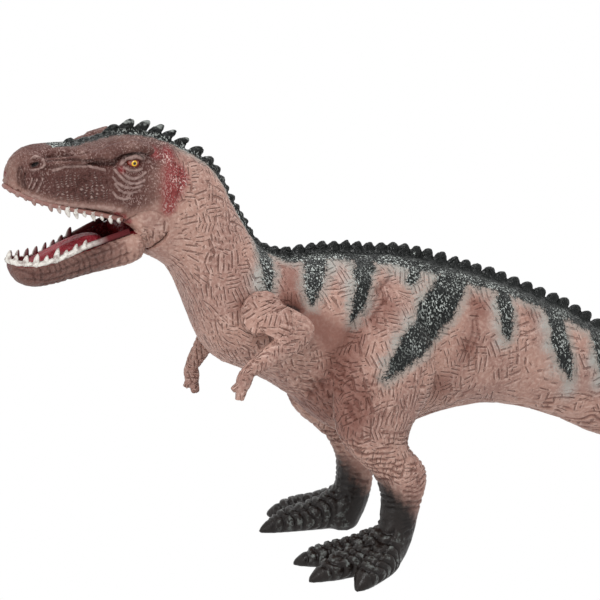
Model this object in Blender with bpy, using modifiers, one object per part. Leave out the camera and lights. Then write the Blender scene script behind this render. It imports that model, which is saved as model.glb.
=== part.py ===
# Toy dinosaur figure: a stuffed soft-vinyl meat-eater with a hinged lower jaw and swivelling arms.
# Metres, +Z up, snout towards -X, the figure's left side towards -Y, soles on Z = 0. The forms are made about
# the plane Y = 0, then the figure is moved sideways, because one foot is turned out further than the other.
import math

import bmesh
import bpy
from mathutils import Matrix, Vector

# Overall stance
HIP_X = -0.043
HIP_HEIGHT = 0.104
NECK_REACH = 0.111
NECK_RISE = 0.064
BODY_DEPTH = 0.083
BODY_WIDTH = 0.060
TAIL_LENGTH = 0.255
GAP = 0.0003
WALL = 0.003
OVERRUN = 0.3
STANCE_SHIFT = 0.006

# Head and jaw
HEAD_LENGTH = 0.058
HEAD_HEIGHT = 0.041
HEAD_WIDTH = 0.040
JAW_LENGTH = 0.058
JAW_DEPTH = 0.020
JAW_WIDTH = 0.038
JAW_CLOSE = math.radians(20)
JAW_OPEN = math.radians(3)
JAW_SWEEP_STEPS = 3
JAW_CLEARANCE = 0.0005
LOBE_RADIUS = 0.0095
LUG_RADIUS = 0.0088
LUG_WIDTH = 0.0176
PIN_RADIUS = 0.0015
PIN_LENGTH = 0.028
LIP_THICKNESS = 0.0028
ROOF_RISE = 0.0065
PALATE_THICKNESS = 0.0022
PALATE_RIDGE = 0.0007
MOUTH_FLOOR = 0.0045
TONGUE_THICKNESS = 0.0062
TONGUE_WIDTH = 0.0165
EYE_RADIUS = 0.0032
EYE_SPREAD = 0.0139
BROW_RADIUS = 0.0024
NOSTRIL_RADIUS = 0.0016

# Teeth
STRIP_RADIUS = 0.0011
LOWER_TOOTH = 0.0052
UPPER_TOOTH = 0.0034
TOOTH_RADIUS = 0.0011
LOWER_TEETH = 13
UPPER_TEETH = 14

# Crest
HEAD_SPIKE = 0.0072
BACK_SPIKE = 0.0042
HEAD_PITCH = 0.0068
BACK_PITCH = 0.0053
SPIKE_SINK = 0.0012
SPIKE_SWEEP = math.radians(32)
SHARP_ANGLE = math.radians(40)

# Plugs between neck, trunk and tail
PLUG_LENGTH = 0.012
SLEEVE_WALL = 0.002
FILLING_SLACK = 0.0009

# Legs and feet
LEG_DEPTH = 0.060
RIGHT_LEG_SETBACK = 0.0085
FOOT_LENGTH = 0.0465
TOE_HEIGHT = 0.0115
TOE_WIDTH = 0.0125
SOLE_TRIM = 0.0012
HIP_KEY_RADIUS = 0.009
HIP_KEY_FLAT = 0.003
HIP_BOSS_WALL = 0.003
HIP_KEY_INNER = 0.012

# Arms
UPPER_ARM = 0.0185
FOREARM = 0.0317
RIGHT_FOREARM = 0.0288
SHOULDER_DEPTH = 0.0066
SHOULDER_RADIUS = 0.0095
SHOULDER_INSET = 0.0052
ARM_STANDOFF = 0.0087
ELBOW_SPLAY = 0.0027
PEG_RADIUS = 0.004
PEG_HEAD_RADIUS = 0.0055
PEG_HEAD_THICKNESS = 0.002
SHOULDER_BOSS_DEPTH = 0.006
PALM_LENGTH = 0.0078
HAND_DROP = math.radians(42)
FINGER_LENGTH = 0.0065
FINGER_RADIUS = 0.0026

HIP = Vector((HIP_X, 0.0, HIP_HEIGHT))
JAW_PIVOT = HIP + Vector((-NECK_REACH, 0.0, NECK_RISE))
THIGH_WIDTH = BODY_WIDTH / 2
LEG_SPREAD = BODY_WIDTH / 2
SHOULDER_SEAT = BODY_WIDTH / 2 - SHOULDER_INSET
ARM_OUTSET = SHOULDER_SEAT + ARM_STANDOFF
ELBOW_OUTSET = ARM_OUTSET + ELBOW_SPLAY
shoulder_share = (0.55, 0.375)
SHOULDER = HIP + Vector((-shoulder_share[0] * NECK_REACH, 0.0, shoulder_share[1] * NECK_RISE))

# Each row: back point (ahead, up), underside point (ahead, up), half-width, flatness of the underside
head_shares = (
    (1.00, 0.68, 1.00, 0.56, 0.175, 0.2),
    (0.95, 0.84, 0.97, 0.50, 0.35, 0.5),
    (0.86, 0.945, 0.86, 0.415, 0.475, 0.8),
    (0.71, 0.96, 0.70, 0.33, 0.55, 1.0),
    (0.52, 0.94, 0.52, 0.255, 0.625, 1.0),
    (0.345, 0.965, 0.345, 0.20, 0.75, 1.0),
    (0.19, 1.00, 0.205, 0.145, 0.875, 1.0),
    (0.035, 1.00, 0.085, -0.01, 0.97, 0.6),
    (-0.14, 0.95, -0.025, -0.29, 1.00, 0.2),
    (-0.33, 0.85, -0.135, -0.37, 0.98, 0.0),
)
neck_shares = (
    (0.69, 1.40, 0.86, 0.70, 0.65),
    (0.60, 1.20, 0.795, 0.51, 0.715),
    (0.53, 1.01, 0.75, 0.28, 0.80),
    (0.465, 0.83, 0.71, 0.08, 0.87),
    (0.385, 0.72, 0.625, -0.07, 0.91),
)
trunk_shares = (
    (0.27, 0.525, 0.485, -0.13, 0.96),
    (0.125, 0.505, 0.335, -0.255, 0.98),
    (-0.025, 0.48, 0.215, -0.445, 0.95),
    (-0.18, 0.46, 0.09, -0.565, 0.90),
    (-0.325, 0.42, -0.09, -0.57, 0.865),
    (-0.47, 0.36, -0.305, -0.49, 0.83),
    (-0.61, 0.29, -0.54, -0.46, 0.80),
)
tail_shares = (
    (0.335, 0.205, 0.32, -0.525, 0.735),
    (0.40, 0.11, 0.405, -0.62, 0.665),
    (0.47, -0.02, 0.49, -0.765, 0.60),
    (0.555, -0.205, 0.59, -0.89, 0.52),
    (0.65, -0.385, 0.69, -0.975, 0.42),
    (0.75, -0.53, 0.785, -0.995, 0.32),
    (0.845, -0.65, 0.87, -0.945, 0.22),
    (0.935, -0.695, 0.945, -0.86, 0.13),
    (1.00, -0.72, 1.00, -0.77, 0.04),
)
NECK_SEAM_ROW = len(head_shares)
TAIL_SEAM_ROW = len(head_shares) + len(neck_shares) + len(trunk_shares) - 1

# Each row: gum point (ahead, up), underside point (ahead, up), half-width, from the jaw pivot
jaw_shares = (
    (1.00, -0.54, 0.99, -0.78, 0.20),
    (0.95, -0.55, 0.94, -1.06, 0.39),
    (0.81, -0.62, 0.81, -1.20, 0.48),
    (0.64, -0.52, 0.63, -1.13, 0.56),
    (0.45, -0.28, 0.41, -0.99, 0.67),
    (0.28, -0.12, 0.22, -0.92, 0.79),
    (0.12, 0.02, 0.06, -0.86, 0.88),
    (-0.02, 0.05, -0.06, -0.70, 0.92),
)
tongue_shares = (
    (0.93, 0.10, 0.35),
    (0.84, 0.42, 0.80),
    (0.66, 0.58, 1.00),
    (0.46, 0.66, 0.95),
    (0.33, 0.55, 0.70),
)

# Eye and nostril: ahead, up and, for the nostril, spread; brow ridge points: ahead, up, spread
eye_share = (0.086, 0.744)
nostril_share = (0.89, 0.85, 0.36)
brow_shares = (
    (0.84, 0.80, 0.40),
    (0.70, 0.80, 0.50),
    (0.45, 0.81, 0.62),
    (0.22, 0.90, 0.72),
    (0.06, 0.93, 0.76),
    (-0.06, 0.84, 0.82),
)
brow_swell_shares = (0.5, 0.8, 0.9, 1.2, 1.1, 0.5)

# Strips of teeth: inset and drop from the rims; teeth: size at the rear, size of every second one
lower_strip_shares = (2.4, -0.3)
upper_strip_shares = (1.7, 0.2)
tooth_shares = (0.55, 0.8)

# Crest spikes: half-length of the base per pitch, thickness, tip per base; heights at the ends and middle of each row
spike_shares = (0.48, 0.7, 0.3)
head_crest_shares = (0.3, 1.0, 0.85)
back_crest_shares = (1.15, 0.9, 1.0)
tail_crest_shares = (1.0, 0.8, 0.3)

# Half outline of a section from back to underside: (across, up)
round_shares = ((0, 1), (0.46, 0.87), (0.82, 0.50), (1, -0.04), (0.90, -0.56), (0.52, -0.90), (0, -1))
flat_shares = ((0, 1), (0.50, 0.88), (0.84, 0.48), (0.98, -0.10), (1, -0.72), (0.60, -0.98), (0, -1))
slim_shares = ((0, 1), (0.71, 0.71), (1, 0), (0.71, -0.71), (0, -1))

# Each row: front (ahead, up), rear (ahead, up), spread, half-width
leg_shares = (
    (0.12, 1.28, -0.20, 1.26, 0.55, 0.45),
    (0.33, 1.12, -0.40, 1.08, 0.75, 0.74),
    (0.43, 0.94, -0.47, 0.89, 0.88, 0.93),
    (0.44, 0.77, -0.32, 0.74, 0.94, 0.93),
    (0.44, 0.66, -0.15, 0.625, 0.965, 0.80),
    (0.33, 0.56, -0.16, 0.54, 0.985, 0.70),
    (0.14, 0.465, -0.30, 0.485, 1.00, 0.63),
    (0.05, 0.385, -0.35, 0.405, 1.00, 0.60),
    (0.03, 0.29, -0.27, 0.29, 1.00, 0.56),
    (0.06, 0.19, -0.235, 0.18, 1.00, 0.58),
    (0.15, 0.10, -0.175, 0.07, 1.00, 0.60),
    (0.16, -0.03, -0.02, -0.035, 1.00, 0.50),
)
HEEL_SHARE = -0.06
# Each toe: turn outwards in degrees, length; each toe row: along, height, half-width
toe_turns = ((-29, 1.00), (2, 0.94), (36, 0.78))
toe_shares = (
    (0.05, 2.00, 0.50),
    (0.24, 1.65, 0.58),
    (0.46, 1.18, 0.53),
    (0.68, 0.98, 0.48),
    (0.85, 0.72, 0.37),
    (1.02, 0.16, 0.10),
)
foot_turns = {"left": 0, "right": 40}

# Each arm: degrees that the upper arm drops behind the shoulder and the forearm in front of the elbow
arm_turns = {"left": (27, 28), "right": (64, 56)}
# Each row: along, half-height, half-width
palm_shares = ((-0.35, 0.30, 0.26), (0.30, 0.43, 0.31), (0.85, 0.38, 0.30), (1.15, 0.24, 0.22))
# Each finger: start along the palm, turn in degrees from the forearm, length, radius
finger_shares = ((0.80, 48, 1.0, 1.0), (0.50, 4, 1.05, 0.72))
finger_radius_shares = (1.1, 1.0, 0.8)
# Each row: along, half-height, half-width
upper_arm_shares = ((-0.30, 0.45, 0.34), (0.10, 0.84, 0.60), (0.55, 0.80, 0.60), (0.98, 0.72, 0.52), (1.22, 0.40, 0.34))
forearm_shares = (
    (-0.12, 0.45, 0.36),
    (0.08, 0.72, 0.52),
    (0.45, 0.56, 0.46),
    (0.82, 0.42, 0.36),
    (1.06, 0.36, 0.30),
)

PARTS = "toy_dinosaur"


def clear_scene():
    for obj in list(bpy.data.objects):
        bpy.data.objects.remove(obj, do_unlink=True)


def collection(name):
    made = bpy.data.collections.new(name)
    bpy.context.scene.collection.children.link(made)
    return made


def material(name, colour, roughness, metallic=0.0):
    made = bpy.data.materials.new(name)
    made.use_nodes = True
    shader = made.node_tree.nodes["Principled BSDF"]
    shader.inputs["Base Color"].default_value = (*colour, 1.0)
    shader.inputs["Roughness"].default_value = roughness
    shader.inputs["Metallic"].default_value = metallic
    return made


def object_from(bm, name):
    bmesh.ops.recalc_face_normals(bm, faces=bm.faces)
    mesh = bpy.data.meshes.new(name)
    bm.to_mesh(mesh)
    bm.free()
    obj = bpy.data.objects.new(name, mesh)
    bpy.context.scene.collection.objects.link(obj)
    return obj


def applied(obj):
    """Replaces the object's mesh, or its curve, by the evaluated and welded mesh."""
    bpy.context.view_layer.update()
    graph = bpy.context.evaluated_depsgraph_get()
    mesh = bpy.data.meshes.new_from_object(obj.evaluated_get(graph))
    bm = bmesh.new()
    bm.from_mesh(mesh)
    bmesh.ops.remove_doubles(bm, verts=bm.verts, dist=0.001 * GAP)
    name, matrix = obj.name, obj.matrix_world.copy()
    bpy.data.objects.remove(obj, do_unlink=True)
    made = object_from(bm, name)
    made.matrix_world = matrix
    return made


def combined(obj, tool, operation):
    """Applies one Boolean and removes its tool."""
    tool.hide_render = True
    tool.display_type = "WIRE"
    modifier = obj.modifiers.new(operation.lower(), "BOOLEAN")
    modifier.operation = operation
    modifier.solver = "EXACT"
    modifier.object = tool
    made = applied(obj)
    bpy.data.objects.remove(tool, do_unlink=True)
    return made


def cut(obj, *tools):
    for tool in tools:
        obj = combined(obj, tool, "DIFFERENCE")
    return obj


def joined(obj, *tools):
    for tool in tools:
        obj = combined(obj, tool, "UNION")
    return obj


def kept(obj, tool):
    return combined(obj, tool, "INTERSECT")


def lofted(name, rings, soft=True):
    """Form through rings, each a closed loop of points, with closed ends, smoothed where it is soft."""
    bm = bmesh.new()
    loops = [[bm.verts.new(point) for point in ring] for ring in rings]
    for near, far in zip(loops, loops[1:]):
        for i, vert in enumerate(near):
            j = (i + 1) % len(near)
            bm.faces.new((vert, near[j], far[j], far[i]))
    bm.faces.new(loops[0])
    bm.faces.new(loops[-1])
    obj = object_from(bm, name)
    if not soft:
        return obj
    soften = obj.modifiers.new("soften", "SUBSURF")
    soften.levels = 1
    soften.render_levels = 1
    return applied(obj)


def section(high, low, half_width, shares, middle=0.0, grow=0.0, soft=True):
    """Closed loop through a high and a low point of the plane y = middle, as wide as half_width.

    A soft form's cage is a little larger, because smoothing draws it in.
    """
    corners = 2 * len(shares) - 2
    swell = 3 / (2 + math.cos(2 * math.pi / corners)) if soft else 1.0
    centre = (high + low) / 2
    rise = (high - low) / 2
    up = rise.normalized() * (rise.length + grow) * swell
    side = Vector((0.0, (half_width + grow) * swell, 0.0))
    centre.y = middle
    right = [centre + side * across + up * height for across, height in shares]
    left = [centre - side * across + up * height for across, height in reversed(shares[1:-1])]
    return right + left


def blended(first, second, share):
    return [
        (a[0] + (b[0] - a[0]) * share, a[1] + (b[1] - a[1]) * share) for a, b in zip(first, second)
    ]


def head_point(ahead, up):
    return JAW_PIVOT + Vector((-ahead * HEAD_LENGTH, 0.0, up * HEAD_HEIGHT))


def neck_point(ahead, up):
    return HIP + Vector((-ahead * NECK_REACH, 0.0, up * NECK_RISE))


def trunk_point(ahead, up):
    return HIP + Vector((-ahead * NECK_REACH, 0.0, up * BODY_DEPTH))


def tail_point(behind, up):
    return HIP + Vector((behind * TAIL_LENGTH, 0.0, up * BODY_DEPTH))


def body_rows():
    """Rows of the whole figure, snout to tail: back point, underside point, half-width, flatness."""
    rows = []
    for a, b, c, d, width, flat in head_shares:
        rows.append((head_point(a, b), head_point(c, d), width * HEAD_WIDTH / 2, flat))
    places = ((neck_point, neck_shares), (trunk_point, trunk_shares), (tail_point, tail_shares))
    for place, shares in places:
        for a, b, c, d, width in shares:
            rows.append((place(a, b), place(c, d), width * BODY_WIDTH / 2, 0.0))
    return rows


def body_form(name, grow=0.0, first=0, last=None, soft=True):
    """The figure's outer form, or one set in by a negative grow, between two rows."""
    rings = []
    for high, low, half_width, flat in body_rows()[first:last]:
        outline = blended(round_shares, flat_shares, flat)
        slack = max(grow, -0.8 * half_width, -0.8 * (high - low).length / 2)
        rings.append(section(high, low, half_width, outline, grow=slack, soft=soft))
    return lofted(name, rings, soft)


def box(name, size, centre):
    bm = bmesh.new()
    bmesh.ops.create_cube(bm, size=1.0)
    bmesh.ops.scale(bm, verts=bm.verts, vec=size)
    bmesh.ops.translate(bm, verts=bm.verts, vec=centre)
    return object_from(bm, name)


def cone(bm, start, along, radius, tip_radius=0.0, segments=5):
    """Adds a capped cone that starts at a point and is as long as along, and returns its vertices."""
    turn = along.to_track_quat("Z", "Y").to_matrix().to_4x4()
    place = Matrix.Translation(start + along / 2) @ turn
    made = bmesh.ops.create_cone(
        bm,
        cap_ends=True,
        segments=segments,
        radius1=radius,
        radius2=tip_radius,
        depth=along.length,
        matrix=place,
    )
    return made["verts"]


def cylinder(name, radius, start, end, segments=24):
    """Cylinder between two points."""
    bm = bmesh.new()
    cone(bm, start, end - start, radius, radius, segments)
    return object_from(bm, name)


def ball(name, radius, centre, segments=14):
    bm = bmesh.new()
    bmesh.ops.create_uvsphere(bm, u_segments=segments, v_segments=segments // 2, radius=radius)
    bmesh.ops.translate(bm, verts=bm.verts, vec=centre)
    return object_from(bm, name)


def tube(name, points, radius, radii=None, resolution=2):
    """Welded mesh of a bevelled poly curve."""
    data = bpy.data.curves.new(name, "CURVE")
    data.dimensions = "3D"
    data.bevel_depth = radius
    data.bevel_resolution = resolution
    data.use_fill_caps = True
    spline = data.splines.new("POLY")
    spline.points.add(len(points) - 1)
    for i, point in enumerate(points):
        spline.points[i].co = (*point, 1.0)
        spline.points[i].radius = radii[i] if radii else 1.0
    obj = bpy.data.objects.new(name, data)
    bpy.context.scene.collection.objects.link(obj)
    return applied(obj)


def turned(obj, angle, centre):
    """Turns the object's mesh about the Y axis through a point; a positive angle lifts a jaw's tip."""
    place = Matrix.Translation(centre) @ Matrix.Rotation(angle, 4, "Y") @ Matrix.Translation(-centre)
    obj.data.transform(place)
    return obj


def seam_side(name, row, ahead, shift):
    """Half space on one side of the plane through a row's back and underside points."""
    high, low, _, _ = body_rows()[row]
    normal = Vector((-(high - low).z, 0.0, (high - low).x)).normalized()
    if not ahead:
        normal = -normal
    obj = box(name, (OVERRUN, OVERRUN, OVERRUN), (0.0, 0.0, 0.0))
    turn = normal.to_track_quat("Z", "Y").to_matrix().to_4x4()
    place = Matrix.Translation((high + low) / 2 + normal * (OVERRUN / 2 + shift)) @ turn
    obj.data.transform(place)
    return obj


def seam_slab(name, row, start, end):
    """Slab between two distances ahead of a row's plane."""
    slab = seam_side(name, row, True, start)
    return kept(slab, seam_side("slab_end", row, False, -end))


def sampled(points, pitch):
    """Points every pitch along a polyline, each with its direction."""
    found = []
    wanted = pitch / 2
    done = 0.0
    for start, end in zip(points, points[1:]):
        length = (end - start).length
        while wanted <= done + length:
            found.append((start.lerp(end, (wanted - done) / length), (end - start).normalized()))
            wanted += pitch
        done += length
    return found


def back_line(first, last):
    """Smooth line of the back between two rows."""
    tops = [row[0] for row in body_rows()]
    line = []
    for i in range(first, last):
        before = tops[max(i - 1, 0)]
        after = tops[min(i + 2, len(tops) - 1)]
        for step in range(4):
            t = step / 4
            p, q = tops[i], tops[i + 1]
            line.append(
                ((2 * p) + (q - before) * t + (2 * before - 5 * p + 4 * q - after) * t * t
                 + (3 * p - before - 3 * q + after) * t ** 3) / 2
            )
    line.append(tops[last])
    return line


def spikes(name, line, pitch, full_height, height_shares):
    """Row of back-swept spikes, with the shares of their full height at start, middle and end."""
    bm = bmesh.new()
    heights = [share * full_height for share in height_shares]
    places = sampled(line, pitch)
    for i, (point, along) in enumerate(places):
        share = i / max(len(places) - 1, 1)
        if share < 0.5:
            height = heights[0] + (heights[1] - heights[0]) * share * 2
        else:
            height = heights[1] + (heights[2] - heights[1]) * (share * 2 - 1)
        upward = Vector((-along.z, 0.0, along.x))
        lean = (upward * math.cos(SPIKE_SWEEP) + along * math.sin(SPIKE_SWEEP)).normalized()
        base, thickness, tip = spike_shares
        radius = base * pitch
        made = cone(bm, point - lean * SPIKE_SINK, lean * (height + SPIKE_SINK), radius, tip * radius)
        bmesh.ops.scale(bm, verts=made, vec=(1.0, thickness, 1.0))
    return object_from(bm, name)


def finish(obj, name, colour, parts):
    obj.name = name
    obj.data.name = name
    obj.data.materials.clear()
    obj.data.materials.append(colour)
    obj.data.shade_smooth()
    obj.data.set_sharp_from_angle(angle=SHARP_ANGLE)
    for home in list(obj.users_collection):
        home.objects.unlink(obj)
    parts.objects.link(obj)
    return obj


def origin_to(obj, point):
    """Moves the object's origin without moving its mesh."""
    obj.data.transform(Matrix.Translation(-point))
    obj.location = point


# Jaw and mouth


def jaw_form(name, grow=0.0, soft=True):
    rings = []
    for a, b, c, d, width in jaw_shares:
        high = JAW_PIVOT + Vector((-a * JAW_LENGTH, 0.0, b * JAW_DEPTH))
        low = JAW_PIVOT + Vector((-c * JAW_LENGTH, 0.0, d * JAW_DEPTH))
        outline = [(across, -height) for across, height in reversed(flat_shares)]
        rings.append(section(high, low, width * JAW_WIDTH / 2, outline, grow=grow, soft=soft))
    return lofted(name, rings, soft)


def lobe(name, side, radius, inner):
    """Hinge disc about the pivot, from its inner face out past the cheek."""
    start = JAW_PIVOT + Vector((0.0, side * inner, 0.0))
    end = JAW_PIVOT + Vector((0.0, side * HEAD_WIDTH, 0.0))
    return cylinder(name, radius, start, end)


def jaw_blank(name):
    """Jaw with its lobes flush with the cheeks and without the space for the head's lug."""
    form = jaw_form(name)
    for side in (-1, 1):
        disc = lobe("lobe", side, LOBE_RADIUS, LUG_WIDTH / 2 + GAP)
        form = joined(form, kept(disc, body_form("cheek", 0.0, NECK_SEAM_ROW - 5, NECK_SEAM_ROW + 2)))
    half = Vector((0.0, LUG_WIDTH / 2 + GAP, 0.0))
    return cut(form, cylinder("lug_space", LOBE_RADIUS + JAW_CLEARANCE, JAW_PIVOT - half, JAW_PIVOT + half))


def jaw_sweep(head):
    """Cuts from the head the space that the jaw passes through between its two stops."""
    for side in (-1, 1):
        head = cut(head, lobe("lobe_space", side, LOBE_RADIUS + JAW_CLEARANCE, LUG_WIDTH / 2))
    for step in range(JAW_SWEEP_STEPS + 1):
        angle = JAW_CLOSE - (JAW_CLOSE + JAW_OPEN) * step / JAW_SWEEP_STEPS
        head = cut(head, turned(jaw_form("sweep", 2 * JAW_CLEARANCE, soft=False), angle, JAW_PIVOT))
    return head


def rim(table, strip_shares):
    """Line round the mouth: rear left, snout, rear right."""
    inset, rise = (share * STRIP_RADIUS for share in strip_shares)
    left = []
    for x, z, half_width in table:
        left.append(Vector((x, -(half_width - inset), z + rise)))
    right = [Vector((point.x, -point.y, point.z)) for point in reversed(left)]
    return left + right


def lower_rim():
    table = []
    for a, b, _, _, width in reversed(jaw_shares[1:-1]):
        table.append((JAW_PIVOT.x - a * JAW_LENGTH, JAW_PIVOT.z + b * JAW_DEPTH, width * JAW_WIDTH / 2))
    return rim(table, lower_strip_shares)


def upper_rim():
    table = []
    for _, _, c, d, width, _ in reversed(head_shares[1:7]):
        point = head_point(c, d)
        table.append((point.x, point.z, width * HEAD_WIDTH / 2))
    return rim(table, upper_strip_shares)


def tooth_strip(name, line, count, height, upward):
    """Gum strip along the rim with a row of conical teeth of alternating height."""
    strip = tube(name, line, STRIP_RADIUS, resolution=1)
    length = sum((b - a).length for a, b in zip(line, line[1:]))
    bm = bmesh.new()
    rear_share, second_share = tooth_shares
    for i, (point, _) in enumerate(sampled(line, length / (2 * count))):
        near_front = 1 - abs((i + 0.5) / count - 1)
        size = height * (rear_share + (1 - rear_share) * near_front)
        if i % 2 == 0:
            size *= second_share
        cone(bm, point, Vector((0.0, 0.0, upward * size)), TOOTH_RADIUS)
    return joined(strip, object_from(bm, "teeth"))


def mouth_floor_space(name, inset=0.0):
    """Trough of the lower jaw between its tooth rows."""
    rings = []
    for a, b, c, d, width in jaw_shares[1:-1]:
        x = JAW_PIVOT.x - a * JAW_LENGTH
        rim_z = JAW_PIVOT.z + b * JAW_DEPTH
        floor_z = JAW_PIVOT.z + d * JAW_DEPTH + MOUTH_FLOOR
        high = Vector((x, 0.0, 2 * rim_z - floor_z))
        low = Vector((x, 0.0, floor_z))
        half_width = width * JAW_WIDTH / 2 - LIP_THICKNESS - 1.6 * STRIP_RADIUS
        rings.append(section(high, low, half_width, slim_shares, grow=-inset))
    rings[0] = [point + Vector((2 * inset, 0.0, 0.0)) for point in rings[0]]
    rear = [point + Vector((0.25 * JAW_LENGTH, 0.0, 0.0)) for point in rings[-1]]
    rings.append(rear)
    return lofted(name, rings)


def tongue_form(name):
    """Tongue rising from the floor of the trough, whose shape its underside takes."""
    rings = []
    for along, height, width in tongue_shares:
        x = JAW_PIVOT.x - along * JAW_LENGTH
        floor_z = JAW_PIVOT.z + floor_share(along) * JAW_DEPTH + MOUTH_FLOOR
        low = Vector((x, 0.0, floor_z - TONGUE_THICKNESS))
        high = Vector((x, 0.0, floor_z + height * TONGUE_THICKNESS))
        rings.append(section(high, low, width * TONGUE_WIDTH / 2, slim_shares))
    return kept(lofted(name, rings), mouth_floor_space("trough", GAP))


def floor_share(along):
    """Height share of the jaw's underside at a share of its length."""
    rows = [(c, d) for _, _, c, d, _ in jaw_shares]
    for (c1, d1), (c2, d2) in zip(rows, rows[1:]):
        if c2 <= along <= c1:
            return d1 + (d2 - d1) * (c1 - along) / (c1 - c2)
    return rows[-1][1]


def roof_rows(last):
    rows = []
    for _, _, c, d, width, _ in head_shares[1:last]:
        rows.append((head_point(c, d), width * HEAD_WIDTH / 2 - LIP_THICKNESS))
    return rows


def roof_form(name, last, inset=0.0):
    """Vault of the upper jaw above the lip line."""
    rings = []
    for point, half_width in roof_rows(last):
        rise = Vector((0.0, 0.0, ROOF_RISE))
        rings.append(section(point + rise, point - rise, half_width, slim_shares, grow=-inset))
    rings[0] = [corner + Vector((2 * inset, 0.0, 0.0)) for corner in rings[0]]
    return lofted(name, rings)


def palate_under(name):
    """Space below the palate, with its cross ridges, longer than the palate at both ends."""
    rings = []
    for i, (point, half_width) in enumerate(roof_rows(7)):
        ridge = PALATE_RIDGE if i % 2 else -PALATE_RIDGE
        high = point + Vector((0.0, 0.0, ROOF_RISE - PALATE_THICKNESS + ridge))
        low = point - Vector((0.0, 0.0, 2 * ROOF_RISE))
        rings.append(section(high, low, half_width + LIP_THICKNESS, slim_shares))
    ahead = Vector((-LIP_THICKNESS, 0.0, 0.0))
    rings.insert(0, [corner + ahead for corner in rings[0]])
    rings.append([corner - ahead for corner in rings[-1]])
    return lofted(name, rings)


def build_lower_jaw(skin, parts):
    jaw = jaw_blank("lower_jaw")
    jaw = cut(jaw, mouth_floor_space("mouth_floor"))
    line = lower_rim()
    jaw = cut(jaw, tube("strip_groove", line, STRIP_RADIUS + GAP, resolution=1))
    half_pin = Vector((0.0, PIN_LENGTH / 2 + GAP, 0.0))
    jaw = cut(jaw, cylinder("pin_hole", PIN_RADIUS + GAP, JAW_PIVOT - half_pin, JAW_PIVOT + half_pin, 16))
    origin_to(finish(jaw, "lower_jaw", skin, parts), JAW_PIVOT)


def build_tongue(colour, parts):
    finish(tongue_form("tongue"), "tongue", colour, parts)


def build_lower_teeth(colour, parts):
    strip = tooth_strip("lower_teeth", lower_rim(), LOWER_TEETH, LOWER_TOOTH, 1.0)
    finish(strip, "lower_teeth", colour, parts)


def build_upper_teeth(colour, parts):
    strip = tooth_strip("upper_teeth", upper_rim(), UPPER_TEETH, UPPER_TOOTH, -1.0)
    finish(strip, "upper_teeth", colour, parts)


def build_palate(colour, parts):
    plate = cut(roof_form("palate", 7, GAP), palate_under("palate_under"))
    finish(plate, "palate", colour, parts)


def build_jaw_pin(colour, parts):
    half = Vector((0.0, PIN_LENGTH / 2, 0.0))
    pin = cylinder("jaw_pin", PIN_RADIUS, JAW_PIVOT - half, JAW_PIVOT + half, 16)
    finish(pin, "jaw_pin", colour, parts)


# Head


def eye_place(side):
    return head_point(*eye_share) + Vector((0.0, side * EYE_SPREAD, 0.0))


def build_eye(name, side, colour, parts):
    eye = ball(name, EYE_RADIUS, eye_place(side))
    finish(eye, name, colour, parts)


def brow(side):
    points = []
    for ahead, up, spread in brow_shares:
        points.append(head_point(ahead, up) + Vector((0.0, side * spread * HEAD_WIDTH / 2, 0.0)))
    return tube("brow", points, BROW_RADIUS, brow_swell_shares, resolution=1)


def build_head(skin, parts):
    head = kept(body_form("head"), seam_side("neck_side", NECK_SEAM_ROW, True, GAP / 2))
    plug = body_form("plug", -(WALL + GAP), NECK_SEAM_ROW - 3, NECK_SEAM_ROW + 4, soft=False)
    head = joined(head, kept(plug, seam_slab("slab", NECK_SEAM_ROW, -PLUG_LENGTH, PLUG_LENGTH / 2)))
    head = joined(head, brow(-1), brow(1))
    line = back_line(4, NECK_SEAM_ROW)
    head = joined(head, spikes("head_crest", line, HEAD_PITCH, HEAD_SPIKE, head_crest_shares))
    head = cut(jaw_sweep(head), roof_form("roof_space", 8))
    half_lug = Vector((0.0, LUG_WIDTH / 2, 0.0))
    head = joined(head, cylinder("lug", LUG_RADIUS, JAW_PIVOT - half_lug, JAW_PIVOT + half_lug))
    half_pin = Vector((0.0, PIN_LENGTH, 0.0))
    head = cut(head, cylinder("pin_hole", PIN_RADIUS + GAP, JAW_PIVOT - half_pin, JAW_PIVOT + half_pin, 16))
    head = cut(head, tube("strip_groove", upper_rim(), STRIP_RADIUS + GAP, resolution=1))
    for side in (-1, 1):
        head = cut(head, ball("eye_socket", EYE_RADIUS + GAP, eye_place(side)))
        ahead, up, spread = nostril_share
        nostril = head_point(ahead, up) + Vector((0.0, side * spread * HEAD_WIDTH / 2, 0.0))
        head = cut(head, ball("nostril", NOSTRIL_RADIUS, nostril, 8))
    finish(head, "head", skin, parts)


# Trunk, tail and filling


def hip_key(name, side, grow, inner, outer):
    """Round key of the hip with a flat on its rear side."""
    start = HIP + Vector((0.0, side * inner, 0.0))
    end = HIP + Vector((0.0, side * outer, 0.0))
    key = cylinder(name, HIP_KEY_RADIUS + grow, start, end)
    flat = HIP_KEY_RADIUS - HIP_KEY_FLAT + grow
    centre = HIP + Vector((flat + HIP_KEY_RADIUS, 0.0, 0.0))
    return cut(key, box("key_flat", (2 * HIP_KEY_RADIUS, OVERRUN, 4 * HIP_KEY_RADIUS), centre))


def shoulder_disc(name, side, radius, inner, outer, segments=24):
    start = SHOULDER + Vector((0.0, side * inner, 0.0))
    end = SHOULDER + Vector((0.0, side * outer, 0.0))
    return cylinder(name, radius, start, end, segments)


def boss_inner():
    return SHOULDER_SEAT - SHOULDER_BOSS_DEPTH


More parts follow.
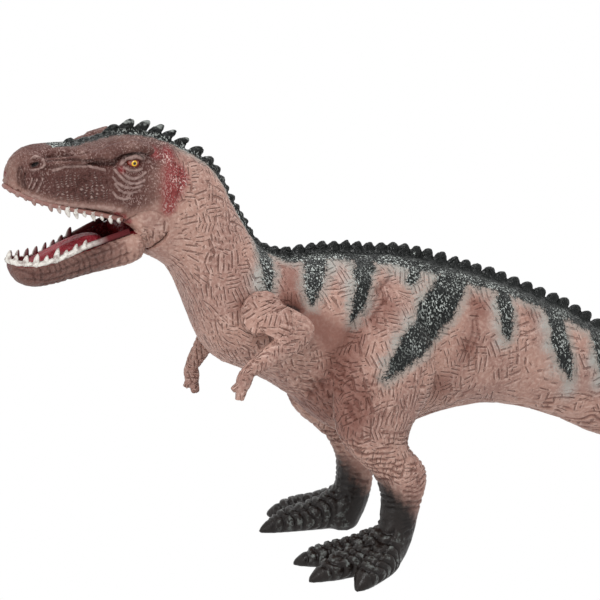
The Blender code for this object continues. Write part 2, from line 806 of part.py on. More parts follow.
def bosses(grow=0.0):
    """Thickened places that hold the arm pegs and the leg keys."""
    made = []
    for side in (-1, 1):
        radius = SHOULDER_RADIUS + GAP + WALL + grow
        made.append(shoulder_disc("boss", side, radius, boss_inner() - grow, BODY_WIDTH, 16))
        radius = HIP_KEY_RADIUS + GAP + HIP_BOSS_WALL + grow
        start = HIP + Vector((0.0, side * (HIP_KEY_INNER - grow), 0.0))
        made.append(cylinder("boss", radius, start, HIP + Vector((0.0, side * BODY_WIDTH, 0.0)), 16))
    return made


def build_trunk(skin, parts):
    trunk = cut(
        body_form("trunk"),
        seam_side("head_side", NECK_SEAM_ROW, True, -GAP / 2),
        seam_side("tail_side", TAIL_SEAM_ROW, False, -GAP / 2),
    )
    line = back_line(NECK_SEAM_ROW, TAIL_SEAM_ROW)
    trunk = joined(trunk, spikes("back_crest", line, BACK_PITCH, BACK_SPIKE, back_crest_shares))
    cavity = cut(body_form("cavity", -WALL, NECK_SEAM_ROW - 2, TAIL_SEAM_ROW + 3, soft=False), *bosses())
    trunk = cut(trunk, cavity)
    for side in (-1, 1):
        trunk = cut(trunk, shoulder_disc("seat", side, SHOULDER_RADIUS + GAP, SHOULDER_SEAT, BODY_WIDTH))
        trunk = cut(trunk, shoulder_disc("peg_hole", side, PEG_RADIUS + GAP, 0.0, BODY_WIDTH, 16))
        trunk = cut(trunk, hip_key("key_hole", side, GAP, 0.0, BODY_WIDTH))
    finish(trunk, "trunk", skin, parts)


def sleeve_bore(name, grow=0.0):
    inset = -(WALL + GAP + SLEEVE_WALL) + grow
    return body_form(name, inset, TAIL_SEAM_ROW - 2, TAIL_SEAM_ROW + 4, soft=False)


def build_tail(skin, parts):
    tail = cut(body_form("tail"), seam_side("trunk_side", TAIL_SEAM_ROW, True, -GAP / 2))
    sleeve = body_form("sleeve", -(WALL + GAP), TAIL_SEAM_ROW - 3, TAIL_SEAM_ROW + 4, soft=False)
    tail = joined(tail, kept(sleeve, seam_slab("slab", TAIL_SEAM_ROW, -PLUG_LENGTH / 2, PLUG_LENGTH)))
    line = back_line(TAIL_SEAM_ROW, len(body_rows()) - 1)
    tail = joined(tail, spikes("tail_crest", line, BACK_PITCH, BACK_SPIKE, tail_crest_shares))
    hollow = body_form("hollow", -WALL, TAIL_SEAM_ROW - 1, TAIL_SEAM_ROW + 7, soft=False)
    hollow = kept(hollow, seam_side("hollow_side", TAIL_SEAM_ROW, False, PLUG_LENGTH / 2 + WALL))
    tail = cut(tail, sleeve_bore("sleeve_bore"), hollow)
    finish(tail, "tail", skin, parts)


def build_stuffing(fibre, parts):
    """Fibre filling: one body through trunk and tail, clear of plugs, pegs and bosses."""
    filling = body_form("stuffing", -(WALL + GAP), NECK_SEAM_ROW - 1, TAIL_SEAM_ROW + 2, soft=False)
    filling = cut(
        filling,
        seam_side("plug_side", NECK_SEAM_ROW, True, -(PLUG_LENGTH + GAP)),
        seam_side("sleeve_side", TAIL_SEAM_ROW, False, -(PLUG_LENGTH + GAP)),
        *bosses(GAP),
    )
    tail_reach = seam_side("tail_reach", TAIL_SEAM_ROW, False, -1.5 * PLUG_LENGTH)
    filling = joined(filling, kept(sleeve_bore("tail_part", -FILLING_SLACK), tail_reach))
    for side in (-1, 1):
        radius = PEG_HEAD_RADIUS + GAP
        reach = boss_inner() - 2 * GAP - PEG_HEAD_THICKNESS
        filling = cut(filling, shoulder_disc("peg_space", side, radius, reach, BODY_WIDTH, 16))
    finish(filling, "stuffing", fibre, parts)


# Legs


def leg_side(side):
    return "left" if side < 0 else "right"


def leg_form(name, side):
    rings = []
    for a, b, c, d, spread, width in leg_shares:
        set_back = RIGHT_LEG_SETBACK * (1 - b) if side > 0 else 0.0
        front = Vector((HIP_X - a * LEG_DEPTH + set_back, 0.0, b * HIP_HEIGHT))
        rear = Vector((HIP_X - c * LEG_DEPTH + set_back, 0.0, d * HIP_HEIGHT))
        middle = side * spread * LEG_SPREAD
        rings.append(section(front, rear, width * THIGH_WIDTH / 2, slim_shares, middle))
    return lofted(name, rings)


def toe(name, side, turn, length, trim):
    """Toe from the heel to its pointed claw, turned outwards from straight ahead."""
    rings = []
    for along, height, width in toe_shares:
        x = -along * length
        high = Vector((x, 0.0, height * TOE_HEIGHT))
        low = Vector((x, 0.0, -trim))
        rings.append(section(high, low, width * TOE_WIDTH, slim_shares))
    obj = lofted(name, rings)
    set_back = RIGHT_LEG_SETBACK if side > 0 else 0.0
    heel = Vector((HIP_X - HEEL_SHARE * LEG_DEPTH + set_back, side * LEG_SPREAD, 0.0))
    outwards = -side * math.radians(turn + foot_turns[leg_side(side)])
    obj.data.transform(Matrix.Translation(heel) @ Matrix.Rotation(outwards, 4, "Z"))
    return obj


def flat_soled(obj):
    """Cuts off what reaches below the ground and closes the soles."""
    bm = bmesh.new()
    bm.from_mesh(obj.data)
    everything = bm.verts[:] + bm.edges[:] + bm.faces[:]
    found = bmesh.ops.bisect_plane(
        bm, geom=everything, plane_co=(0.0, 0.0, 0.0), plane_no=(0.0, 0.0, 1.0), clear_inner=True
    )
    rim_edges = [item for item in found["geom_cut"] if isinstance(item, bmesh.types.BMEdge)]
    bmesh.ops.edgeloop_fill(bm, edges=rim_edges)
    name = obj.name
    bpy.data.objects.remove(obj, do_unlink=True)
    return object_from(bm, name)


def build_leg(side, skin, parts):
    name = "leg_" + leg_side(side)
    leg = leg_form(name, side)
    for i, (turn, length) in enumerate(toe_turns):
        leg = joined(leg, toe("toe", side, turn, length * FOOT_LENGTH, SOLE_TRIM * (1 + i / 3)))
    leg = flat_soled(leg)
    leg = cut(leg, body_form("hip_seat", GAP))
    leg = joined(leg, hip_key("key", side, 0.0, HIP_KEY_INNER, LEG_SPREAD))
    finish(leg, name, skin, parts)


# Arms


def limb(name, start, end, shares, start_outset, end_outset, side):
    """Tapered limb from one joint to the next, in the upright plane at its outset."""
    along = end - start
    upward = Vector((along.z, 0.0, -along.x)).normalized()
    rings = []
    for reach, height, width in shares:
        centre = start + along * reach
        middle = side * (start_outset + (end_outset - start_outset) * reach)
        half = upward * height * SHOULDER_RADIUS
        rings.append(section(centre + half, centre - half, width * SHOULDER_RADIUS, slim_shares, middle))
    return lofted(name, rings)


def arm_joints(side):
    """Elbow and wrist in the upright plane."""
    drop, fall = (math.radians(angle) for angle in arm_turns[leg_side(side)])
    elbow = SHOULDER + Vector((math.cos(drop), 0.0, -math.sin(drop))) * UPPER_ARM
    reach = RIGHT_FOREARM if side > 0 else FOREARM
    wrist = elbow + drooped(fall) * reach
    return elbow, wrist


def drooped(angle):
    """Direction ahead in the upright plane, turned down by an angle."""
    return Vector((-math.cos(angle), 0.0, -math.sin(angle)))


def finger(base, angle, length, radius):
    direction = drooped(angle)
    points = (base - direction * radius, base + direction * length / 2, base + direction * length)
    return tube("finger", points, radius, finger_radius_shares, resolution=1)


def hand(side, wrist, fall):
    """Palm that hangs from the wrist, with its blunt finger and its thumb."""
    palm_run = drooped(fall + HAND_DROP) * PALM_LENGTH
    pieces = [limb("palm", wrist, wrist + palm_run, palm_shares, ELBOW_OUTSET, ELBOW_OUTSET, side)]
    for start, turn, length, radius in finger_shares:
        base = wrist + palm_run * start
        base.y = side * ELBOW_OUTSET
        angle = fall + math.radians(turn)
        pieces.append(finger(base, angle, length * FINGER_LENGTH, radius * FINGER_RADIUS))
    return pieces


def build_arm(side, skin, parts):
    name = "arm_" + leg_side(side)
    elbow, wrist = arm_joints(side)
    arm = limb(name, SHOULDER, elbow, upper_arm_shares, ARM_OUTSET, ELBOW_OUTSET, side)
    forearm = limb("forearm", elbow, wrist, forearm_shares, ELBOW_OUTSET, ELBOW_OUTSET, side)
    seat = SHOULDER_SEAT + GAP
    disc = shoulder_disc("disc", side, SHOULDER_RADIUS, seat, SHOULDER_SEAT + SHOULDER_DEPTH)
    arm = joined(arm, forearm, disc)
    arm = joined(arm, *hand(side, wrist, math.radians(arm_turns[leg_side(side)][1])))
    inner = boss_inner() - GAP
    head_start = inner - PEG_HEAD_THICKNESS
    peg = shoulder_disc("peg", side, PEG_RADIUS, inner - PEG_HEAD_THICKNESS / 2, ARM_OUTSET, 16)
    arm = joined(arm, peg, shoulder_disc("peg_head", side, PEG_HEAD_RADIUS, head_start, inner, 16))
    origin_to(finish(arm, name, skin, parts), SHOULDER)


# Build


def main():
    clear_scene()
    parts = collection(PARTS)
    skin = material("skin", (0.42, 0.24, 0.19), 0.5)
    red = material("mouth_red", (0.30, 0.03, 0.03), 0.25)
    ivory = material("tooth_white", (0.80, 0.76, 0.66), 0.35)
    amber = material("eye_amber", (0.45, 0.22, 0.05), 0.15)
    steel = material("pin_steel", (0.60, 0.60, 0.60), 0.35, 1.0)
    fibre = material("fibre_white", (0.85, 0.85, 0.83), 0.95)
    build_trunk(skin, parts)
    build_tail(skin, parts)
    build_head(skin, parts)
    build_palate(red, parts)
    build_upper_teeth(ivory, parts)
    build_lower_jaw(skin, parts)
    build_tongue(red, parts)
    build_lower_teeth(ivory, parts)
    build_jaw_pin(steel, parts)
    for side in (-1, 1):
        build_eye("eye_" + leg_side(side), side, amber, parts)
        build_leg(side, skin, parts)
        build_arm(side, skin, parts)
    build_stuffing(fibre, parts)
    for obj in parts.objects:
        obj.location.y -= STANCE_SHIFT


main()
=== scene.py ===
# Toy dinosaur figure of painted soft vinyl: sculpted skins, teeth, mouth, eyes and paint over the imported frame.
import math
from contextlib import contextmanager

import bmesh
import bpy
import numpy as np
from mathutils import Matrix, Vector
from mathutils.bvhtree import BVHTree


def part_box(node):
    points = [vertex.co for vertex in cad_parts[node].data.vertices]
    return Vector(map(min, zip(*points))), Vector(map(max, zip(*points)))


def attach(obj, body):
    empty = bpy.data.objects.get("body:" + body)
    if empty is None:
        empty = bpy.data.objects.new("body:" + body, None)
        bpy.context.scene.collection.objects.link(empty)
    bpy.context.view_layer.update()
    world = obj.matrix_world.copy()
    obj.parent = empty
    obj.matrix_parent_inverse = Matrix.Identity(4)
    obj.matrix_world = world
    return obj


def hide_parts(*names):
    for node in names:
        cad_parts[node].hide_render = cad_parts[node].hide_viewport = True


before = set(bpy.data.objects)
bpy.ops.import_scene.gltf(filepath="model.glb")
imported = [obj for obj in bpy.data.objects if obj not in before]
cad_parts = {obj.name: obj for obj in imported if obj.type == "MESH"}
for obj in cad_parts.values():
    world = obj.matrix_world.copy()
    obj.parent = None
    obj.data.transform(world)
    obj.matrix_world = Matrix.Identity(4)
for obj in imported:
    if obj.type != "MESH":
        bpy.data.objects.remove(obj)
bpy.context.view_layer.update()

# Tables of points are in side-plane millimetres: behind and above this point of the figure's middle plane.
MIDDLE = np.array((-0.073, -0.006, 0.124))
MM = 0.001
JAW_PIVOT = Vector((-0.154, -0.006, 0.168))
SHOULDER = Vector((-0.10405, -0.006, 0.128))
SEAT = 0.0248
LEVELS = 32
COARSE = 0.0008
FINE = 0.0005

# Line of the back, snout to tail tip
BACK = [
    (-139, 71.1), (-136.1, 76.8), (-130.9, 80.9), (-122.2, 81.9), (-111.2, 81.5), (-101, 83), (-92, 85),
    (-83, 85), (-73, 83),
    (-62, 79), (-46.6, 69.6), (-36.6, 56.8), (-28.8, 44.6), (-21.6, 33.1), (-12.7, 26.1), (0, 23.6),
    (16.1, 21.9), (32.8, 19.8), (50, 18.2), (66.1, 14.9), (82.2, 9.9), (97.7, 4.1), (115.4, -3),
    (132, -10.9), (149.9, -21.7), (171.5, -37), (195.8, -52), (221.3, -64), (245.5, -73.9), (268.4, -77.7),
    (285, -79.8),
]
# How far the skin lies inside that line: (behind, millimetres)
BACK_DROP = [(-42, 0), (-38, 0.5), (-34, 2), (-29, 3), (-24, 3.8), (-20, 4.3), (-14, 3.7), (-7, 3), (0, 1.7),
             (8, 0.4), (14, 0), (42, 0), (54, 0.8), (66, 1.7), (80, 2.3), (92, 3), (112, 3.3), (130, 3.7),
             (150, 3.4), (180, 1.8), (215, 0)]
# Tips of the crest's spikes
SPIKES = [(-109.3, 84.5), (-102.7, 84.3), (-96.7, 85.1), (-88.9, 88.8), (-80.6, 90.5), (-72.7, 89.3),
          (-66, 86.8), (-59.9, 84), (-53.8, 80.1), (-47.3, 75), (-42.3, 70.1), (-38.8, 65.4),
          (-36.6, 60.5), (-34.4, 56.2), (-31.6, 51.7), (-29.6, 47.1), (-27.8, 43.3), (-25.5, 40),
          (-23.4, 35.5), (-20.7, 31.1), (-16.3, 28.3), (-11.7, 26.4), (-6.2, 25.9), (0, 26.2), (6, 26.5),
          (11.5, 26.8), (17.5, 26.2), (23.6, 26.1), (29.4, 25), (35.3, 23.9), (41.4, 22.8), (47.6, 22.2),
          (53.8, 21.1), (60, 19.2), (66.3, 17.4), (73.6, 15.2), (80.5, 12.5), (86.4, 10), (92.2, 7.4),
          (99.2, 4.8), (105.7, 2.1), (112.7, -1.1), (119.8, -4.3), (127, -8), (134.2, -11.8),
          (140.3, -14.9), (147, -19.1), (153.2, -22.8)]
CREST_REACH = [(-124, -9), (-119, 1.5), (-112, 3.5), (-95, 4), (-70, 3.6), (-45, 3.4), (-25, 5), (-8, 9), (10, 10),
               (60, 12), (100, 12.5), (150, 10), (210, 6), (285, 3)]

# Painted stripes: (behind, above, half-width)
STRIPES = [
    [(-21.3, 30, 4.8), (-24.1, 20.5, 4), (-26.6, 14.7, 2.2)],
    [(6.5, 24, 4.8), (0.5, 17, 4.5), (-4.3, 10.6, 3.6), (-6.1, 6.4, 1.6)],
    [(29, 20, 5.2), (24.6, 14.8, 4.8), (21.7, 8.1, 4), (17.2, 1.3, 3.2), (13.1, -4.2, 1.2)],
    [(55, 16, 4.4), (52.6, 11.3, 3.4), (48.3, 7.8, 2)],
    [(80, 11, 7), (69.5, 2.7, 7.2), (60.9, -4.7, 8.2), (51.2, -12.5, 8), (38.1, -18.1, 6),
     (29.6, -24.7, 3.4), (24.7, -29.4, 1.4)],
    [(101, 2, 5), (97, -11.2, 4.2), (96.1, -19, 3.4), (96, -23.6, 1.4)],
    [(127, -14, 6), (125.9, -29.1, 5), (128.7, -38.9, 4), (131.2, -47.1, 1.8)],
    [(152, -26, 5.5), (152, -42, 4.5), (155, -54, 1.8)],
    [(179, -46, 5), (180, -59, 4), (184, -68, 1.5)],
    [(207, -62, 4.4), (209, -72, 3.2), (212, -79, 1.3)],
    [(234, -73, 3.6), (236, -81, 2.2)],
]
# Blown paint: (behind, above, radius)
PALE = [(-30.7, 15.7, 6), (-30, 21, 5), (19, 17, 5), (15.1, 9.8, 5), (13, 3, 4), (9.5, 18.5, 4), (45.4, 13.8, 7),
        (60.1, 9.3, 7), (51.8, 0.2, 7), (40, -7.5, 6), (31.5, -15, 5), (23, -22.7, 4), (91, -9, 4),
        (89.7, -16.4, 4.5), (91.5, -24.8, 4.5), (118.6, -21, 6), (118, -31, 5), (122, -41.9, 6),
        (131, -54.4, 6),
        (145, -42, 5), (148, -53, 6), (174, -60, 5), (178, -68, 5), (203, -72, 4)]
# Reddish-brown spray, which also stands for painted shade in the groin, on the belly and behind the arm: (behind,
# above, radius)
BROWN_AND_SHADE_SPOTS = [(-10.5, 15.6, 9), (-14, 8, 8), (82.2, -8.3, 8), (73.7, -25.2, 8), (6, -21.7, 11), (8.3, -38.8, 12),
        (30.5, 1, 7), (22, -4.3, 6), (-17.5, 5.6, 7), (4, -50, 14), (6, -38, 10), (60, -42, 9), (112, -14, 6),
        (-39, 8, 5),
        (0, -8, 9), (8, -14, 9), (-6, -2, 6), (14, -10, 6)]
RED_PATCH = [(-68, 68, 7.5), (-70, 60.5, 7), (-72, 54, 4.6), (-64, 66, 5), (-94, 52.6, 2),
             (-75, 77, 3.4), (-68, 76, 4), (-92, 72, 2.2),
             (-91, 51, 2), (-88.4, 48.6, 2)]

# Carved and raised lines of both sides: points, half-width, height
HEAD_LINES = [
    ([(-123.1, 78.3), (-118.1, 78.5), (-113.9, 78.3), (-109.9, 77.4), (-105.4, 76.1), (-100.5, 74.9), (-95.4, 74.8)],
     1.3, -0.6),
    ([(-120.8, 73.2), (-115.9, 74.6), (-110.7, 74.5), (-104.8, 74.2), (-99, 72.3)], 0.8, 0.4),
    ([(-94.4, 74.4), (-93.2, 76.2), (-91, 78.2), (-87.6, 79.4), (-83, 79), (-78, 76.6)], 0.8, -0.4),
    ([(-91.8, 74.4), (-89.6, 76.8), (-85.6, 77.6), (-81, 75.8)], 0.9, 0.45),
    ([(-90.6, 73), (-88.6, 71.8), (-86, 71.2), (-83, 71.8)], 0.7, 0.5),
    ([(-91.4, 70.8), (-89.1, 68.6), (-86.9, 68), (-84, 68.6), (-81.4, 70.2)], 0.6, 0.45),
    ([(-94.8, 72.2), (-92.8, 69.5), (-91, 67.4), (-88.6, 66.1), (-85.6, 65.9), (-82.6, 66.9)], 0.6, 0.45),
    ([(-95.8, 69.2), (-94.3, 67), (-92.3, 65.3), (-89.8, 64.3), (-87, 64.1), (-84, 64.8)], 0.6, 0.45),
    ([(-95.2, 66.2), (-93.7, 63.7), (-91.6, 62.5), (-89.1, 62.2), (-86.2, 62.5)], 0.6, 0.42),
    ([(-96.2, 62.8), (-94.6, 60.6), (-92.1, 59.6), (-89.2, 59.9)], 0.6, 0.4),
    ([(-66.2, 72.2), (-64.3, 69.2), (-64, 65), (-65.5, 61.4), (-67.5, 58.3)], 1, -0.7),
    ([(-130.9, 75.3), (-130.5, 76.8), (-129.4, 78.1), (-127.9, 78.8), (-126.2, 78.8), (-125.1, 77.9), (-124.9, 76.7),
      (-125.6, 75.5), (-127, 74.6), (-128.7, 74), (-130.4, 74.1)], 0.75, 0.5),
    ([(-134.7, 74.9), (-135.8, 72), (-135.1, 64.8)], 0.6, -0.5),
    ([(-133.6, 75.3), (-134.4, 71.2), (-134, 64.9)], 0.6, -0.5),
    ([(-132.6, 72.9), (-133.2, 69.9), (-132.6, 65.5)], 0.6, -0.5),
    ([(-130, 70.6), (-131.4, 66.6)], 0.5, 0.45),
    ([(-128, 70), (-130.2, 65.9)], 0.5, 0.45),
    ([(-125.5, 70.2), (-128.1, 64.7)], 0.5, 0.45),
]
HEAD_RIDGES = [
    ([(-124, 81), (-117, 81.2), (-111, 80.6), (-104, 79.2), (-97, 78)], 1.5, 0.35),
    ([(-96.6, 77), (-92.5, 80.8), (-86, 82), (-78.6, 79.6)], 1.8, 0.5),
]
LIP = [(-137.6, 67.4), (-132, 63.4), (-122.7, 59.8), (-112, 57.4), (-103, 56.4), (-98, 55.6), (-92.9, 54.4)]
# Folds that the paint darkens only a little, and creases that it darkens more, with a wash and painted shade
BODY_FOLDS = [
    ([(-37.7, 16.9), (-40.8, 7.4), (-39.1, -4.3)], 4, -0.45),
    ([(37.5, 10), (29, 5.5), (19.3, -2.7), (12.5, -11), (6, -19.5), (1, -28.5), (-2, -38)], 3.6, -0.75),
    ([(63.8, -20.2), (58.8, -25.1), (47.1, -29.4), (38.6, -36.7), (30, -43)], 2.2, -0.45),
    ([(79, -2), (80, -10), (78, -20), (72, -30), (66, -38)], 2.6, -0.6),
    ([(84, -22), (76, -33), (66, -42.6)], 1.8, -0.5),
    ([(17.6, -44.6), (26, -48.6), (36, -47.6)], 1.8, -0.5),
    ([(20, -52.6), (30, -57.6), (40, -55)], 1.8, -0.45),
]
BODY_LINES = [
    ([(37.5, 10), (29, 5.5), (19.3, -2.7)], 0.7, -0.5),
    ([(34.2, 4.5), (27.2, 0.6), (21.2, -4.7)], 0.7, -0.5),
    ([(33, 9.4), (26, 5), (18, -1.2)], 0.6, -0.4),
    ([(77.6, -13), (76.4, -20), (72.4, -27)], 0.7, -0.4),
    ([(80.4, -12), (79.6, -20), (75.6, -28)], 0.7, -0.4),
]
PIT = [(-17, 4.6, 4.6), (-13.2, 2.4, 4.2)]
SMOOTH_SPOTS = [(-12, 15, 6), (-10, 0.5, 9), (-2, -4.6, 9), (6, -8.8, 8), (1, -11.6, 7), (-80, 52, 9)]
# Lines of the lower jaw
JAW_LINES = [
    ([(-137, 30.6), (-128.7, 27.6), (-118.8, 28.6), (-104.6, 34.6), (-95, 37.6), (-86, 42)], 0.8, -0.5),
    ([(-134, 26.2), (-124, 24.6), (-110, 28), (-97, 32), (-88, 35)], 0.7, -0.45),
    ([(-126, 22.8), (-110, 24.8), (-96, 28.4), (-86, 30.6)], 0.7, -0.35),
]
# Rounded fields of the side plane: (behind, above, length, height), and the power of their edge where it isn't 2
GROIN = (4, -34, 22, 16)
EYE_SOCKET = (-85, 74, 6.5, 4.5)
NOSTRIL = (-128.7, 76.5, 2, 1.5)
MAXILLA = (-110, 64, 13, 8, 4)
MUZZLE = (-130, 68, 8, 5.5, 4)
BEADED = (-109, 65.5, 12.5, 7, 4)
HEAD_SWELLS = [
    (1, (-86, 81.5, 6, 3.2)), (0.9, (-73, 61, 9, 9)), (-0.9, (-112, 68, 12, 5)), (0.7, (-128, 77, 4.5, 4)),
]
BROW = [(-118, 77.5, 4), (-108, 78.5, 4), (-99, 78, 4), (-88, 82, 4.5), (-131, 79, 4)]
# Feet: side, heel and turn of the whole foot in degrees; toes: turn and length
FEET = [(-1, (33.6, -30), 0), (1, (42.1, 30), 40)]
TOES = [(-29, 47.4), (2, 44.6), (36, 37)]
GROUND = -124.0
# Mouth, measured from the jaw's pivot: (ahead, half-width), and the rims of its teeth: (ahead, up, half-width)
MOUTH_WIDTH = [(0, 16.5), (13, 14.8), (24, 12.6), (36, 10.4), (47, 9), (55, 7.2), (58, 3.5)]
LOWER_RIM = [(7, 0.4, 16.7), (16.2, -2.4, 15), (26.1, -5.6, 12.7), (37.1, -10.4, 10.6), (47, -12.4, 9.1),
             (55.1, -11, 7.4), (57.4, -10.4, 4)]
UPPER_RIM = [(10.5, 5.6, 17.5), (20, 8.2, 15), (30.2, 10.5, 12.5), (40.6, 13.5, 11), (49.9, 17, 9.5),
             (56.3, 20.5, 7), (57.9, 21.6, 3.6)]
# Rings of the tongue: (ahead, lowest, highest, half-width)
TONGUE = [(14, -14, -2.4, 5.6), (20, -15, -1.4, 7.4), (27, -16, -2.6, 8.2), (35, -17.2, -5.6, 7.6),
          (42, -18, -8.4, 6.4), (48, -18.2, -10.6, 4.8), (52, -17.4, -12.6, 2.4)]
# Seams of the fixed body, as lines in the side plane, and where legs can be, in metres
NECK_SEAM = ((-65.5, 24.8), (-46.6, 69.6))
REAR_SEAM = ((89.9, -58.2), (97.7, 4.1))
LEG_TOP = 0.14
LEG_REACH = (-0.1, 0.0)
# Round joints: the node round them, their centre, the distance from the middle plane where they start and the
# direction in which the skin goes on
JOINT_RADIUS = 9.5
JAW_JOINT = ("head", JAW_PIVOT, 9.8, (0.8, 0.6))
ARM_JOINT = ("trunk", SHOULDER, SEAT / MM + 0.6, (0.87, -0.5))
EYES = (("eye_left", -1), ("eye_right", 1))
EYE_RADIUS = 3.15
# Eyelids: (height of the middle, thickness), their half-length and the radius on which they lie
EYELIDS = ((2.35, 1.0), (-2.3, 0.85))
LID_REACH = 4.6
LID_RADIUS = 3.3
# Spikes past the photograph's edge: (behind, pitch, height)
TAIL_SPIKES = [(150, 6.4, 4.2), (280, 4.6, 2.0)]
LAST_SPIKE = 276
# Rings of a spike: shares of its height; rings of a tooth: shares of its height and radius
SPIKE_RINGS = (-0.35, 0, 0.3, 0.6, 0.85, 1)
TOOTH_RINGS = [(-0.2, 1), (0.2, 1), (0.5, 0.84), (0.8, 0.56), (1, 0.2)]
# Palate: how far ahead its first row is, the pitch of the rows and their number; every second row is a ridge
PALATE_START, PALATE_PITCH, PALATE_ROWS = 14, 1.6, 27
NO_PAINT = -9.0


def srgb(red, green, blue):
    """Linear colour with an alpha from 8-bit display values."""
    return (*((value / 255) ** 2.2 for value in (red, green, blue)), 1.0)


# The third tone is a painted highlight on the raised fine grain of the skin.
FLESH, DULL_FLESH, FLESH_GRAIN_HIGHLIGHT = srgb(170, 133, 120), srgb(148, 113, 103), srgb(206, 177, 164)
# The first tone here is a painted highlight on the lit walls of the cuts; the second is a dark wash with painted
# shade in cuts and creases; the third is reddish-brown spray with painted shade in the groin, on the belly and
# behind the arm.
RIDGE, GROOVE_WASH_SHADE, BROWN_AND_SHADE_TONE = srgb(222, 192, 180), srgb(92, 52, 43), srgb(116, 74, 64)
# The face's crease tone is a dark wash with painted shade; the last tone is dry-brush with painted highlights on
# raised lines, beads and tips.
FACE, FACE_GROOVE_WASH_SHADE, DRY_BRUSH_AND_HIGHLIGHT = srgb(68, 32, 28), srgb(38, 17, 15), srgb(208, 180, 172)
CHALK, HALO, RED = srgb(172, 172, 167), srgb(146, 147, 141), srgb(122, 40, 42)
# The light tone on the ink is painted glints on the glossy black, with dry-brush on raised tips.
INK, INK_GLINT_AND_BRUSH = srgb(15, 19, 18), srgb(190, 196, 191)
# The light tone on the feet is dry-brush with painted highlights on the scutes; the last tone is a dark wash with
# painted shade in their grooves.
FOOT, FOOT_GLINT_AND_BRUSH, FOOT_GROOVE_WASH_SHADE = srgb(12, 15, 15), srgb(150, 158, 155), srgb(6, 6, 6)
# The first tone is painted shade in the nostril, the pit behind the shoulder and, faintly, the deepest carved lines.
HOLE_SHADE, LINING = srgb(16, 8, 7), srgb(84, 10, 18)
TOOTH, TOOTH_DULL, TOOTH_INSIDE = srgb(224, 220, 212), srgb(150, 136, 130), srgb(84, 14, 20)
GUM, GUM_RED = srgb(138, 98, 90), srgb(86, 14, 22)
EYE, EYE_DEEP, IRIS, PUPIL = srgb(150, 70, 52), srgb(104, 40, 34), srgb(226, 178, 40), srgb(8, 8, 8)
WHITE = (1.0, 1.0, 1.0, 1.0)


# Meshes


def link(obj):
    bpy.context.scene.collection.objects.link(obj)
    return obj


def new_object(name, bm):
    mesh = bpy.data.meshes.new(name)
    bm.to_mesh(mesh)
    bm.free()
    return link(bpy.data.objects.new(name, mesh))


@contextmanager
def edited(obj):
    """The object's mesh as a bmesh, written back at the end."""
    bm = bmesh.new()
    bm.from_mesh(obj.data)
    yield bm
    bm.to_mesh(obj.data)
    bm.free()


def applied(obj):
    """The object with its modifiers applied."""
    graph = bpy.context.evaluated_depsgraph_get()
    mesh = bpy.data.meshes.new_from_object(obj.evaluated_get(graph))
    old = obj.data
    obj.modifiers.clear()
    obj.data = mesh
    bpy.data.meshes.remove(old)
    return obj


def welded(*nodes):
    """One mesh with welded copies of the named nodes."""
    bm = bmesh.new()
    for node in nodes:
        bm.from_mesh(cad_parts[node].data)
    bmesh.ops.remove_doubles(bm, verts=bm.verts, dist=0.01 * MM)
    return bm


def tree_of(node):
    """Search tree over the faces of a node."""
    bm = welded(node)
    tree = BVHTree.FromBMesh(bm)
    bm.free()
    return tree


def shell_labels(mesh):
    """One number for each vertex, the same all over a connected shell."""
    edges = np.empty(len(mesh.edges) * 2, np.int64)
    mesh.edges.foreach_get("vertices", edges)
    a, b = edges.reshape(-1, 2).T
    label = np.arange(len(mesh.vertices))
    while True:
        low = np.minimum(label[a], label[b])
        new = label.copy()
        np.minimum.at(new, a, low)
        np.minimum.at(new, b, low)
        new = new[new]
        if (new == label).all():
            return label
        label = new


def largest_part(obj):
    """Keeps only the outer shell, the part with the widest box."""
    label = shell_labels(obj.data)
    points = positions(obj)
    widest = max(np.unique(label), key=lambda shell: np.ptp(points[label == shell], axis=0).sum())
    with edited(obj) as bm:
        bm.verts.ensure_lookup_table()
        gone = [bm.verts[int(i)] for i in np.nonzero(label != widest)[0]]
        bmesh.ops.delete(bm, geom=gone, context="VERTS")
    return obj


def remeshed(name, bm, voxel, rounds):
    """Even closed mesh round everything in bm, lightly smoothed."""
    obj = new_object(name, bm)
    remesh = obj.modifiers.new("remesh", "REMESH")
    remesh.mode = "VOXEL"
    remesh.voxel_size = voxel
    smooth = obj.modifiers.new("smooth", "SMOOTH")
    smooth.factor = 0.5
    smooth.iterations = rounds
    return largest_part(applied(obj))


def cut_by_plane(obj, point, normal):
    """Keeps what lies on the normal's side of a plane and closes it."""
    with edited(obj) as bm:
        everything = bm.verts[:] + bm.edges[:] + bm.faces[:]
        found = bmesh.ops.bisect_plane(bm, geom=everything, plane_co=point, plane_no=normal, clear_inner=True)
        rim = [item for item in found["geom_cut"] if isinstance(item, bmesh.types.BMEdge)]
        bmesh.ops.triangle_fill(bm, edges=rim, use_beauty=True)
        bmesh.ops.recalc_face_normals(bm, faces=bm.faces)
    return obj


def copied(obj, name):
    made = obj.copy()
    made.data = obj.data.copy()
    made.name = name
    return link(made)


def turns(count):
    """Even angles round a circle."""
    return [2 * math.pi * step / count for step in range(count)]


def lofted(bm, rows):
    """Closed form through rows of equally many points."""
    rings = [[bm.verts.new(point) for point in row] for row in rows]
    count = len(rings[0])
    for near, far in zip(rings, rings[1:]):
        for i in range(count):
            j = (i + 1) % count
            bm.faces.new((near[i], near[j], far[j], far[i]))
    bm.faces.new(list(reversed(rings[0])))
    bm.faces.new(rings[-1])


def tube(bm, points, radii):
    """Closed tube of 8 sides through points with a radius at each."""
    rows = []
    for i, (point, radius) in enumerate(zip(points, radii)):
        along = (points[min(i + 1, len(points) - 1)] - points[max(i - 1, 0)]).normalized()
        across = along.cross(Vector((0, 0, 1)))
        across = across.normalized() if across.length >= 0.1 else Vector((0, 1, 0))
        upward = across.cross(along)
        rows.append([point + (across * math.cos(angle) + upward * math.sin(angle)) * radius for angle in turns(8)])
    lofted(bm, rows)


